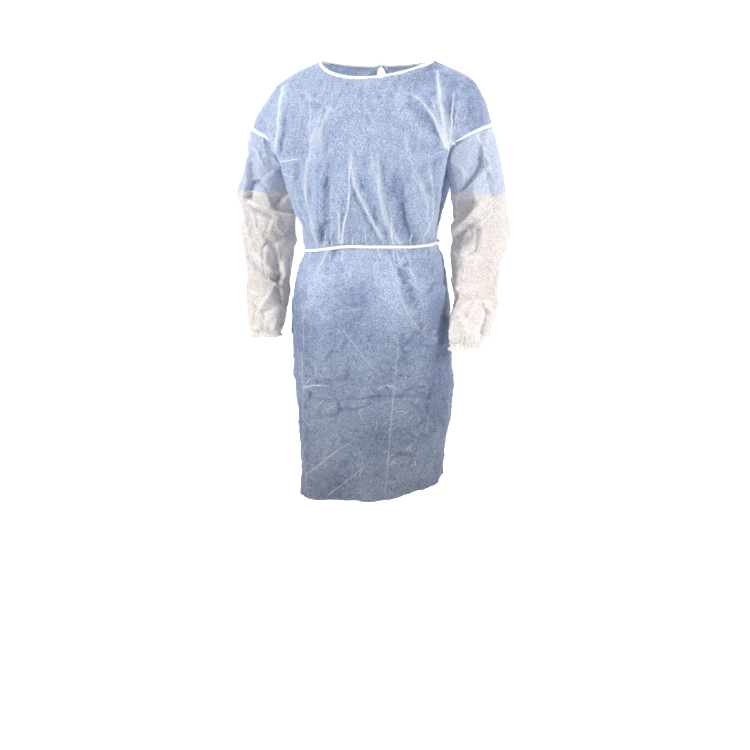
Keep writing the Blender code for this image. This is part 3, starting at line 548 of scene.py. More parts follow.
def foldLines(sheet):
    vertices, faces, whites, flankShades, total = [], [], [], [], 0
    for place, width, fades, white in sheet["lines"]:
        along = lengthAlong(place)
        count = max(5, int(along[-1] * fine["cell"] / ridge["step"]))
        wanted = np.linspace(0, along[-1], count)
        spots = np.stack([np.interp(wanted, along, place[:, axis]) for axis in (0, 1)], axis=1)
        centre, out = onGrid(sheet, spots, "final"), unit(onGrid(sheet, spots, "normals"))
        aside = unit(np.cross(np.gradient(centre, axis=0), out))
        t = np.linspace(0, 1, count)
        size = width * smoothStep(-0.02, fades[0] + 0.02, t) * smoothStep(1.02, 0.98 - fades[1], t)
        size = (size * (0.8 + 0.2 * np.sin(t * 21 + total)))[:, None]
        low = out * ridge["sunk"]
        lit = (aside @ np.array(ridge["light"]) > 0)[:, None]
        crest = centre + out * size * ridge["steep"] + aside * size * ridge["offset"] * np.where(lit, -1, 1)
        dark = np.full_like(lit, white < 0)
        index = total + np.arange(count * 3).reshape(count, 3)
        a, b = index[:-1], index[1:]
        faces.append(np.stack([a[:, :-1], a[:, 1:], b[:, 1:], b[:, :-1]], axis=-1).reshape(-1, 4))
        rims = centre - aside * size / 2 - low, crest, centre + aside * size / 2 - low
        vertices.append(np.stack(rims, axis=1).reshape(-1, 3))
        # painted highlight on the flank that faces the light, painted shade on the far flank
        whites.append((max(white, 0) * np.concatenate([~lit, ~dark, lit], axis=1)).reshape(-1))
        shaded = np.concatenate([lit, dark, ~lit], axis=1)
        flankShades.append(np.where(shaded, 0.0, 0.5).reshape(-1))
        total += count * 3
    return [np.concatenate(part) for part in (vertices, faces, whites, flankShades)]


def meshOf(name, grid, ring=False, turn=False, layers=None, extra=None):
    grid = np.asarray(grid)
    vertices = grid.reshape(-1, 3)
    index = np.arange(len(vertices)).reshape(grid.shape[:2])
    a, b = index[:-1], index[1:]
    if ring:
        a2, b2 = np.roll(a, -1, axis=1), np.roll(b, -1, axis=1)
    else:
        a, a2, b, b2 = a[:, :-1], a[:, 1:], b[:, :-1], b[:, 1:]
    faces = np.stack([a, a2, b2, b], axis=-1).reshape(-1, 4)
    if turn:
        faces = faces[:, ::-1]
    if extra:
        faces = np.concatenate([faces, extra[1] + len(vertices)])
        vertices = np.concatenate([vertices, extra[0]])
    mesh = bpy.data.meshes.new(name)
    mesh.vertices.add(len(vertices))
    mesh.vertices.foreach_set("co", vertices.astype(np.float32).reshape(-1))
    mesh.loops.add(faces.size)
    mesh.loops.foreach_set("vertex_index", faces.reshape(-1).astype(np.int32))
    mesh.polygons.add(len(faces))
    mesh.polygons.foreach_set("loop_start", np.arange(0, faces.size, 4, dtype=np.int32))
    mesh.update(calc_edges=True)
    mesh.validate()
    mesh.shade_smooth()
    for key, values in (layers or {}).items():
        layer = mesh.attributes.new(key, "FLOAT", "POINT")
        layer.data.foreach_set("value", np.clip(values, 0, 1).astype(np.float32).reshape(-1))
    piece = bpy.data.objects.new(name, mesh)
    bpy.context.collection.objects.link(piece)
    return piece


paintedShading = {"small": 3, "near": 2, "far": 12, "depth": 0.0120, "deep": 0.6}  # how height becomes tone: painted shade in hollows, painted highlight on crests


def finishSheet(name, sheet, turn=False):
    sheet["final"] = sheet["grid"] + sheet["normals"] * sheet["lift"][..., None]
    ring, pleats = sheet["ring"], sheet["pleats"]
    small = sheet["lift"] - smoothed(sheet["lift"], ring, paintedShading["small"])
    large = smoothed(pleats, ring, paintedShading["near"]) - smoothed(pleats, ring, paintedShading["far"]) + sheet["broad"]
    # painted highlight on crests and painted shade in hollows, painted shade from the deep layer, and some
    # random tone from the broad ripple
    tone = 0.5 + small / paintedShading["depth"] + large / paintedShading["depth"] - paintedShading["deep"] * sheet["deep"]
    extra = foldLines(sheet)
    layers = {"crease": np.append(sheet["white"], extra[2]), "paintedShading": np.append(tone, extra[3])}
    print(name, len(sheet["lines"]), "fold lines")
    return meshOf(name, sheet["final"], ring, turn, layers, extra)


# Materials
def colour(red, green, blue):
    value = np.array((red, green, blue)) / 255
    linear = np.where(value <= 0.04045, value / 12.92, ((value + 0.055) / 1.055) ** 2.4)
    return (*linear, 1.0)


def newMaterial(name, inputs):
    material = bpy.data.materials.new(name)
    material.use_nodes = True
    shader = material.node_tree.nodes["Principled BSDF"]
    for key, value in inputs.items():
        shader.inputs[key].default_value = value
    return material, material.node_tree, shader


def addNode(tree, kind, settings=None, **links):
    made = tree.nodes.new(kind)
    for key, value in (settings or {}).items():
        if key in made.inputs.keys():
            made.inputs[key].default_value = value
        else:
            setattr(made, key, value)
    for key, source in links.items():
        tree.links.new(source, made.inputs[key])
    return made


def ramp(tree, source, stops):
    made = addNode(tree, "ShaderNodeValToRGB", Fac=source)
    elements = made.color_ramp.elements
    while len(elements) < len(stops):
        elements.new(0.5)
    for element, (place, tone) in zip(elements, stops):
        element.position = place
        element.color = tone
    return made.outputs["Color"]


def joined(tree, sockets, values):  # each socket gets a plain value or another node's output
    for socket, value in zip(sockets, values):
        if isinstance(value, (int, float, tuple)):
            socket.default_value = value
        else:
            tree.links.new(value, socket)


def mathNode(tree, operation, a, b, clamp=False):
    made = addNode(tree, "ShaderNodeMath", {"operation": operation, "use_clamp": clamp})
    joined(tree, made.inputs, (a, b))
    return made.outputs[0]


def mixColour(tree, amount, a, b, mode="MIX"):
    made = addNode(tree, "ShaderNodeMix", {"data_type": "RGBA", "blend_type": mode})
    joined(tree, (made.inputs[0], made.inputs[6], made.inputs[7]), (amount, a, b))
    return made.outputs[2]


def grainNode(tree, place, scale, detail, roughness=0.5):
    settings = {"Scale": scale, "Detail": detail, "Roughness": roughness}
    return addNode(tree, "ShaderNodeTexNoise", settings, Vector=place)


cloth = {
    # the crease colour whitens creases: partly the cloth lying double, partly painted highlight
    "top": 0.02, "bottom": -1.06, "through": 0.22, "crease": colour(244, 246, 251),
    "bodyTones": (  # level, tone; darker towards the hem, partly painted shade where the light falls off and partly darker clothes showing through from beneath
        (-1.03, colour(109, 116, 130)), (-0.90, colour(131, 140, 157)), (-0.74, colour(141, 153, 176)),
        (-0.60, colour(157, 170, 195)), (-0.50, colour(187, 201, 226)), (-0.435, colour(184, 198, 223)),
        (-0.41, colour(167, 181, 206)), (-0.30, colour(173, 187, 212)), (-0.20, colour(181, 195, 220)),
        (0.0, colour(176, 189, 212)),
    ),
    # the wearer's left sleeve is painted lighter than the right one all along: painted light for the brighter
    # light on that side
    "leftTones": (
        (-0.66, colour(243, 236, 231)), (-0.308, colour(238, 233, 230)),
        (-0.298, colour(212, 223, 243)), (-0.15, colour(212, 223, 243)),
    ),
    "rightTones": (
        (-0.66, colour(230, 225, 221)), (-0.308, colour(230, 226, 224)),
        (-0.298, colour(196, 207, 229)), (-0.15, colour(196, 209, 233)),
    ),
    "bodyGrain": ((0.38, (0.43, 0.48, 0.59, 1)), (0.62, (1.43, 1.40, 1.34, 1))),
    "sleeveGrain": ((0.38, (0.66, 0.66, 0.68, 1)), (0.62, (1.24, 1.23, 1.21, 1))),
    "patches": ((0.30, (0.84, 0.86, 0.90, 1)), (0.70, (1.08, 1.07, 1.05, 1))),
    # painted shade below the middle of this ramp, painted highlight above it
    "paintedShading": ((0.0, (0.68, 0.71, 0.78, 1)), (0.5, (0.98, 0.98, 0.98, 1)), (1.0, (1.12, 1.11, 1.08, 1))),
    "finish": {"Roughness": 0.78, "Specular IOR Level": 0.28, "Sheen Weight": 0.12, "Sheen Roughness": 0.5},
    "webs": ((48.0, 4.0, 1.0), (110.0, 3.0, 0.35)),  # scale, sharpness, share of the fine crumple's web
    "cloud": (14.0, 3.0), "fibre": (560.0, 1.5, 0.6), "patch": (70.0, 4.0, 0.65), "warp": (22.0, 3.0),
    "bend": 0.06, "patchFuzz": 1.2,
    "foldBump": {"Strength": 0.3, "Distance": 0.0018}, "fuzzBump": {"Strength": 0.5, "Distance": 0.0008},
    "bodyClouds": (0.6, 0.06), "sleeveClouds": (0.3, 0.02),  # strength, drift of the tones
}


def clothMaterial(name, tones, grain, clouds):
    material, tree, shader = newMaterial(name, cloth["finish"])
    place = addNode(tree, "ShaderNodeTexCoord").outputs["Object"]
    split = addNode(tree, "ShaderNodeSeparateXYZ", Vector=place)
    span = cloth["top"] - cloth["bottom"]
    cloud = grainNode(tree, place, *cloth["cloud"]).outputs["Fac"]
    height = mathNode(tree, "MULTIPLY_ADD", split.outputs["Z"], 1 / span)
    height.node.inputs[2].default_value = -cloth["bottom"] / span
    drift = mathNode(tree, "MULTIPLY", mathNode(tree, "SUBTRACT", cloud, 0.5), clouds[1])
    stops = [((level - cloth["bottom"]) / span, tone) for level, tone in tones]
    # tone by height: the body's darkening towards the hem is partly painted shade, and the sleeves' tones carry
    # painted light
    base = ramp(tree, mathNode(tree, "ADD", height, drift), stops)
    fibre = grainNode(tree, place, *cloth["fibre"]).outputs["Fac"]
    patch = grainNode(tree, place, *cloth["patch"]).outputs["Fac"]
    base = mixColour(tree, 1.0, base, ramp(tree, fibre, grain), "MULTIPLY")
    base = mixColour(tree, clouds[0], base, ramp(tree, patch, cloth["patches"]), "MULTIPLY")
    layers = [addNode(tree, "ShaderNodeAttribute", {"attribute_name": key}) for key in ("paintedShading", "crease")]
    shadeAndHighlight, crease = (layer.outputs["Fac"] for layer in layers)  # painted highlight where the cloth stands up, painted shade in hollows and on turned-away parts
    base = mixColour(tree, 1.0, base, ramp(tree, shadeAndHighlight, cloth["paintedShading"]), "MULTIPLY")
    base = mixColour(tree, crease, base, cloth["crease"])
    warp = grainNode(tree, place, *cloth["warp"]).outputs["Color"]
    bent = mixColour(tree, cloth["bend"], place, warp, "ADD")
    edges = []
    for scale, sharp, share in cloth["webs"]:
        settings = {"feature": "DISTANCE_TO_EDGE", "Scale": scale}
        web = addNode(tree, "ShaderNodeTexVoronoi", settings, Vector=bent)
        edge = mathNode(tree, "MULTIPLY", web.outputs["Distance"], sharp, True)
        edges.append(mathNode(tree, "MULTIPLY", edge, share))
    both = mathNode(tree, "ADD", *edges)
    folded = addNode(tree, "ShaderNodeBump", cloth["foldBump"], Height=both).outputs[0]
    fuzz = mathNode(tree, "ADD", fibre, mathNode(tree, "MULTIPLY", patch, cloth["patchFuzz"]))
    bump = addNode(tree, "ShaderNodeBump", cloth["fuzzBump"], Height=fuzz, Normal=folded).outputs[0]
    joined(tree, (shader.inputs["Base Color"], shader.inputs["Normal"]), (base, bump))
    through = addNode(tree, "ShaderNodeBsdfTranslucent", Color=base, Normal=bump)
    mixed = addNode(tree, "ShaderNodeMixShader")
    joined(tree, mixed.inputs, (cloth["through"], shader.outputs[0], through.outputs[0]))
    tree.links.new(mixed.outputs[0], tree.nodes["Material Output"].inputs["Surface"])
    return material


trim = {
    "tone": colour(244, 244, 243), "grain": ((0.3, (0.90, 0.90, 0.91, 1)), (0.7, (1.0, 1.0, 1.0, 1))),
    "finish": {"Roughness": 0.72, "Sheen Weight": 0.1}, "bump": {"Strength": 0.4, "Distance": 0.0008},
    "fibre": (420.0, 4.0), "creases": (90.0, 3.0), "creaseShare": 2.0,
}


def trimMaterial(name):
    material, tree, shader = newMaterial(name, trim["finish"])
    place = addNode(tree, "ShaderNodeTexCoord").outputs["Object"]
    fibre = grainNode(tree, place, *trim["fibre"]).outputs["Fac"]
    base = mixColour(tree, 1.0, trim["tone"], ramp(tree, fibre, trim["grain"]), "MULTIPLY")
    creases = grainNode(tree, place, *trim["creases"]).outputs["Fac"]
    both = mathNode(tree, "ADD", fibre, mathNode(tree, "MULTIPLY", creases, trim["creaseShare"]))
    bump = addNode(tree, "ShaderNodeBump", trim["bump"], Height=both)
    joined(tree, (shader.inputs["Base Color"], shader.inputs["Normal"]), (base, bump.outputs[0]))
    return material


bodyCloth = clothMaterial("bodyCloth", cloth["bodyTones"], cloth["bodyGrain"], cloth["bodyClouds"])
# the two sleeve cloths are lit and shaded copies of one cloth: their tones differ only by painted light
sleeveCloths = {}
for side in signs:
    tones, grain, clouds = cloth[side + "Tones"], cloth["sleeveGrain"], cloth["sleeveClouds"]
    sleeveCloths[side] = clothMaterial(side + "SleeveCloth", tones, grain, clouds)
whiteTrim = trimMaterial("whiteTrim")


def addPiece(piece, node, material):
    piece.data.materials.append(material)
    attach(piece, "root")
    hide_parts(node)
    return piece


# Front panel: pleats from the chest to the tie, a fan at the wearer's left armpit, packing creases
coarse = (0.090, 0.075, 0.062, 0.052, 0.044, 0.038, 0.034)
crumples = (*coarse, 0.030, 0.027, 0.024, 0.022, 0.020, 0.018, 0.016, 0.014)
frontLook = {
    "creases": (  # path across and down, width, rise, kind, fades, whitening (below zero it is painted shade)
        (((-88, -102), (-113, -202), (-127, -282), (-122, -351), (-108, -413)), 10, 5.2, "lip", (0.25, 0), 0.6),
        (((-89, -190), (-99, -292), (-100, -362), (-95, -413)), 6, -3, "ridge", (0.3, 0), 0),
        (((-27, -215), (-30, -332), (-40, -371), (-45, -413)), 3.5, 3.4, "ridge", (0.25, 0), 0.95),
        (((-50, -325), (-52, -413)), 3, 2.8, "ridge", (0.3, 0), 0.8),
        (((-28, -185), (-11, -280), (21, -348), (54, -410)), 11, 5.2, "lip", (0.25, 0.1), 0.6),
        (((39, -195), (45, -291), (62, -363), (86, -413)), 9, 4.6, "lip", (0.25, 0), 0.5),
        (((78, -230), (93, -291), (98, -371), (112, -413)), 6, -3.6, "ridge", (0.3, 0), 0),
        (((70, -340), (70, -413)), 2.8, 2.4, "ridge", (0.3, 0), 0.8),
        (((122, -230), (142, -302), (146, -399)), 9, 3.6, "ridge", (0.3, 0.1), 0.3),
        (((-68, -85), (-85, -135), (-103, -200)), 10, 3.6, "lip", (0.3, 0.3), 0.4),
        (((-40, -190), (-24, -280), (8, -345), (40, -405)), 6, -3, "ridge", (0.3, 0.1), 0),
        (((96, -150), (108, -200), (132, -240)), 8, 3, "ridge", (0.3, 0.3), 0.3),
        (((-10, -130), (20, -155), (60, -160)), 5, 2.4, "ridge", (0.3, 0.3), 0.25),
        (((190, -204), (183, -130), (171, -80), (157, -18)), (10, 4.8), 7, "lip", (0.03, 0.15), 1),
        (((187, -200), (166, -136), (130, -95), (70, -58)), (11, 4.2), 5.6, "lip", (0.03, 0.6), 0.95),
        (((189, -193), (170, -122), (140, -70)), 4.5, 3.6, "ridge", (0.1, 0.4), 0.45),
        (((194, -190), (198, -124), (203, -64)), (8.5, 4), 5, "lip", (0.05, 0.2), 0.95),
        (((196, -188), (210, -130), (222, -95)), 4.5, 3.6, "ridge", (0.1, 0.4), 0.35),
        (((186, -202), (158, -212), (122, -226)), 6, 2.8, "ridge", (0.1, 0.5), 0.2),
        (((184, -214), (152, -240), (120, -262)), 6, -2.6, "ridge", (0.1, 0.5), 0),
        (((-200, -52), (-199, -110), (-199, -165), (-202, -212)), 8.5, 5.6, "ridge", (0.15, 0.1), 0.85),
        (((-187, -110), (-184, -160), (-190, -215)), 6, -3, "soft", (0.3, 0.3), 0),
        (((-245, -120), (-226, -150), (-207, -182)), 4.5, 3.8, "lip", (0.3, 0.2), 0.3),
        (((-200, -232), (-165, -226), (-128, -221)), 3.2, 2.6, "ridge", (0.1, 0.35), 0.65),
        (((-196, -258), (-168, -264), (-142, -262)), 3.2, 2, "ridge", (0.1, 0.35), 0.4),
        (((-132, -70), (-118, -135), (-110, -205)), 3, 1.6, "ridge", (0.2, 0.3), 0.45),
        (((-90, -150), (-60, -110), (-30, -95)), 5, 1.6, "ridge", (0.3, 0.3), 0.1),
        (((0, -100), (55, -150), (90, -165)), 6, 1.8, "ridge", (0.3, 0.3), 0.1),
        (((112, -172), (103, -204), (117, -232), (121, -300)), 4.5, 2.8, "ridge", (0.2, 0.4), 0.3),
        (((152, -215), (158, -290), (152, -360), (130, -410)), 8, 4.2, "lip", (0.2, 0.1), 0.35),
        (((18, -175), (29, -235), (50, -300), (59, -372)), 5.5, 3.2, "ridge", (0.3, 0.3), 0.3),
        (((-64, -225), (-66, -300), (-72, -413)), 4.5, 2.8, "ridge", (0.4, 0), 0.25),
        (((-160, -262), (-147, -330), (-131, -405)), 5, 3, "ridge", (0.2, 0.2), 0.4),
        (((-109, -432), (-120, -455), (-139, -490)), 5, 4, "lip", (0, 0.4), 0.7),
        (((-77, -430), (-100, -475), (-125, -514), (-140, -552)), 6.5, 6, "lip", (0, 0.35), 1),
        (((-64, -430), (-78, -465), (-92, -492)), 3.5, -3, "ridge", (0, 0.4), 0),
        (((-47, -430), (-45, -464)), 3, 3, "ridge", (0, 0.4), 0.8),
        (((53, -430), (78, -485), (95, -553), (135, -612), (173, -651)), 5.5, 4.4, "ridge", (0.1, 0.5), 0.3),
        (((66, -430), (92, -490), (104, -530)), 5.5, -3.2, "soft", (0, 0.4), 0),
        (((71, -430), (80, -462), (98, -440)), 2.8, 2.2, "ridge", (0, 0.2), 0.7),
        (((100, -430), (112, -470), (118, -520)), 5, 3.4, "ridge", (0, 0.5), 0.2),
        (((-142, -545), (-142, -764), (-146, -1000)), 2.2, 1, "ridge", (0.1, 0.05), 0.22),
        (((91, -587), (77, -774), (59, -1000)), 2.4, 0.8, "ridge", (0.2, 0.05), 0.14),
        (((-142, -776), (-85, -780), (-24, -774), (93, -764), (175, -770)), 3, -2, "ridge", (0.05, 0.25), -0.3),
        (((-144, -759), (-110, -748), (-70, -748)), 3, 2.4, "ridge", (0.1, 0.4), 0.55),
        (((-143, -768), (-128, -742), (-112, -728)), 3, 2.6, "lip", (0.1, 0.4), 0.45),
        (((30, -755), (60, -740), (100, -752)), 3.5, 2.2, "ridge", (0.3, 0.3), 0.3),
        (((-145, -978), (-85, -925), (-40, -888), (10, -862)), 3, 1.4, "ridge", (0.1, 0.4), 0.2),
        (((-85, -1015), (-20, -962), (35, -913)), 3, 1.4, "ridge", (0.05, 0.3), 0.17),
        (((-60, -590), (-10, -650), (45, -720)), 3.5, 1.4, "ridge", (0.3, 0.3), 0.2),
        (((-130, -620), (-60, -575), (20, -560)), 4.5, 1.6, "ridge", (0.3, 0.3), 0.1),
    ),
    "gathers": (60, 11),  # count, seed
    "small": (
        {"count": 330, "long": (0.010, 0.045), "width": 0.0036, "rise": 0.0015, "lean": 70, "spread": 34,
         "rows": (0.02, 0.52), "columns": (0.04, 0.96), "white": 0.50},
        {"count": 170, "long": (0.012, 0.050), "width": 0.0038, "rise": 0.0014, "lean": 8, "spread": 40,
         "rows": (0.54, 0.98), "columns": (0.04, 0.96), "white": 0.40},
    ),
    "chest": {  # sizes, slope, seed, lean; then size, tilt, seed, stretch
        "crushed": ((crumples, 0.12, 21, (1.0, 0.5, 0.45)),),
        "facets": ((0.030, 0.13, 51, (1.0, 1.0, 0.5)), (0.016, 0.10, 52, (1.0, 1.0, 0.6))),
    },
    "skirt": {
        "crushed": ((coarse, 0.10, 23, (0.8, 0.5, 1.0)),),
        "facets": (
            (0.040, 0.20, 53, (0.8, 1.0, 1.0)), (0.022, 0.20, 54, (0.7, 1.0, 1.0)),
            (0.012, 0.16, 55, (0.7, 1.0, 1.0)),
        ),
    },
    "skirtLevels": (-0.40, -0.50), "flank": (0.135, 0.175, 0.6), "turned": (0.50, 0.15, 0.22),
    "ripple": (0.16, 0.0016, 3), "broad": (0.11, 0.0032, 17),  # size, strength, seed
}
shade = (  # painted shade where the sides turn away from the light: way, across from and to, level from and to, depth
    (1, 0.120, 0.175, -0.46, -0.56, 0.75),
    (-1, 0.110, 0.175, -0.46, -0.56, 0.70),
    (1, 0.050, 0.170, -0.22, -0.12, 0.60),
)
ease = {"most": 0.0060, "tie": 0.85, "reach": 0.006, "edge": 12.0, "rim": 6}


def paintSideShade(sheet):
    across, level = sheet["grid"][..., 0], sheet["grid"][..., 2]
    for way, inner, outer, low, high, depth in shade:
        sheet["deep"] += depth * smoothStep(inner, outer, way * across) * smoothStep(low, high, level)


def easeAtTie(sheet, tieRow):  # small creases die out at the tie, the side seams and the upper rim
    extra = sheet["lift"] - sheet["pleats"]
    sheet["lift"] = sheet["pleats"] + ease["most"] * np.tanh(extra / ease["most"])
    rows, columns = sheet["lift"].shape
    fromTie = (np.arange(rows) - tieRow) * fine["cell"]
    sheet["lift"] *= (1 - ease["tie"] * hump(fromTie, ease["reach"]))[:, None]
    seam = smoothStep(-1.0, ease["edge"], np.arange(columns))
    sheet["lift"] *= seam * seam[::-1]
    sheet["lift"][-ease["rim"] :] *= np.linspace(0.8, 0.1, ease["rim"])[:, None]


def lengthwise(points):  # stretched downward, so that ripples run longer across
    return points * (1.0, 1.0, 1.5)


front = startSheet(*easedSide(frontSide))
# tone from the big folds' height: painted highlight on their crests, painted shade between them
front["broad"] = foldHeight(frontFolds, front["grid"])
pressAcross(front, bodyFinder(front, -1), frontLook["creases"])
tieGathers(front, frontSide["tieRow"], *frontLook["gathers"])
for creases in frontLook["small"]:
    randomCreases(front, **creases)
skirtShare = smoothStep(*frontLook["skirtLevels"], front["grid"][..., 2])
inner, outer, strength = frontLook["flank"]
flank = 1 - strength * smoothStep(inner, outer, np.abs(front["grid"][..., 0]))
crumple(front, frontLook["chest"], 1 - skirtShare)
crumple(front, frontLook["skirt"], skirtShare * flank)
paintSideShade(front)
full, none, strength = frontLook["turned"]  # painted highlight: paler where the chest turns away from the front
front["white"] += strength * smoothStep(full, none, np.abs(front["normals"][..., 1])) * (1 - skirtShare)
front["lift"] += ripple(front["grid"], *frontLook["ripple"])
front["broad"] += skirtShare * ripple(lengthwise(front["grid"]), *frontLook["broad"])
easeAtTie(front, frontSide["tieRow"])
frontPanel = addPiece(finishSheet("frontPanel", front), "front_panel", bodyCloth)
print("front panel", len(frontPanel.data.polygons))

# Back panels: the wearer's left one laps over the right one
lap = {  # how far each panel runs past the middle, and how far the upper one is lifted off
    "levels": (hem, waist, underarm, -0.012), "past": (0.075, 0.065, 0.016, -0.011),
    "clear": 0.0030, "near": 0.28, "far": 0.46, "hidden": 50, "flat": 0.0004,
}
backLook = {
    "creases": {
        "left": (
            (((150, -130), (122, -220), (104, -320), (96, -413)), 8, 4, "lip", (0.3, 0), 0.3),
            (((90, -230), (74, -330), (64, -413)), 6, -3, "ridge", (0.3, 0), 0),
            (((30, -180), (40, -300), (30, -413)), 6, 2.8, "ridge", (0.3, 0), 0.25),
            (((190, -200), (150, -130), (110, -80)), 6, 4, "ridge", (0.1, 0.4), 0.3),
            (((194, -196), (186, -120), (170, -70)), 6, 4, "lip", (0.1, 0.4), 0.3),
            (((104, -432), (124, -520), (142, -640)), 7, 4, "lip", (0, 0.5), 0.3),
            (((60, -432), (52, -500), (60, -570)), 5, 3, "ridge", (0, 0.5), 0.3),
            (((140, -560), (142, -780), (140, -1000)), 2.4, 1.2, "ridge", (0.1, 0.1), 0.35),
            (((0, -776), (70, -770), (160, -774)), 3, -1.8, "ridge", (0.1, 0.2), 0.3),
        ),
        "right": (
            (((-146, -130), (-124, -220), (-110, -320), (-106, -413)), 8, 4, "lip", (0.3, 0), 0.3),
            (((-88, -210), (-76, -330), (-70, -413)), 6, -3, "ridge", (0.3, 0), 0),
            (((-190, -200), (-150, -130), (-105, -85)), 6, 4, "ridge", (0.1, 0.4), 0.3),
            (((-196, -196), (-190, -120), (-176, -70)), 6, 3.6, "lip", (0.1, 0.4), 0.3),
            (((-106, -436), (-122, -520), (-138, -640)), 7, 4, "lip", (0, 0.5), 0.3),
            (((-140, -560), (-142, -780), (-140, -1000)), 2.4, 1.2, "ridge", (0.1, 0.1), 0.35),
            (((-80, -776), (-110, -770), (-160, -774)), 3, -1.8, "ridge", (0.1, 0.2), 0.3),
        ),
    },
    "gathers": (30, 31),
    "small": {"count": 110, "long": (0.012, 0.055), "width": 0.0038, "rise": 0.0012, "lean": 0, "spread": 55,
              "rows": (0.02, 0.98), "columns": (0.06, 0.80), "white": 0.7},
    "finish": {
        "crushed": ((coarse, 0.10, 41, (1.0, 0.5, 1.0)),),
        "facets": ((0.036, 0.14, 71, (1.0, 1.0, 0.7)), (0.018, 0.13, 73, (1.0, 1.0, 1.0))),
    },
    "ripple": (0.16, 0.0012, 5), "broad": (0.11, 0.0024, 19),
}


def backShares(line):  # from the side seam, past the middle, to the panel's edge
    half = np.linalg.norm(np.diff(line, axis=0), axis=1).sum() / 2
    past = np.interp(line[len(line) // 2, 2], lap["levels"], lap["past"])
    return np.linspace(1.0, -past / half, fine["backColumns"])


def backRow(line, lineNormals, side):
    shares = backShares(line)
    place = (signs[side] * shares + 1) / 2 * (len(line) - 1)
    low = np.clip(np.floor(place).astype(int), 0, len(line) - 2)
    t = (place - low)[:, None]
    normal = unit((1 - t) * lineNormals[low] + t * lineNormals[low + 1])
    over = lap["clear"] * smoothStep(lap["far"], lap["near"], shares) * (side == "left")
    return (1 - t) * line[low] + t * line[low + 1] + normal * over[:, None], normal


backAll = easedSide(backSide)
backs, backPanels = {}, {}
for number, side in enumerate(signs):
    grid, normals = zip(*(backRow(*lines, side) for lines in zip(*backAll)))
    sheet = backs[side] = startSheet(np.array(grid), np.array(normals))
    # tone from the big folds' height: painted highlight on their crests, painted shade between them
    sheet["broad"] = foldHeight(backFolds, sheet["grid"])
    pressAcross(sheet, bodyFinder(sheet, 1), backLook["creases"][side])
    count, seed = backLook["gathers"]
    tieGathers(sheet, backSide["tieRow"], count, seed + number)
    randomCreases(sheet, **backLook["small"])
    crumple(sheet, backLook["finish"], number=number)
    paintSideShade(sheet)
    sheet["broad"] += ripple(lengthwise(sheet["grid"]), *backLook["broad"])
    sheet["lift"] += ripple(sheet["grid"], *backLook["ripple"])
    easeAtTie(sheet, backSide["tieRow"])
    if side == "right":
        under = sheet["lift"][:, -lap["hidden"] :]
        under[:] = np.minimum(under, lap["flat"])  # it lies under the other one
    piece = finishSheet("backPanel" + side.capitalize(), sheet, turn=side == "left")
    backPanels[side] = addPiece(piece, "back_panel_" + side, bodyCloth)
print("back panels")

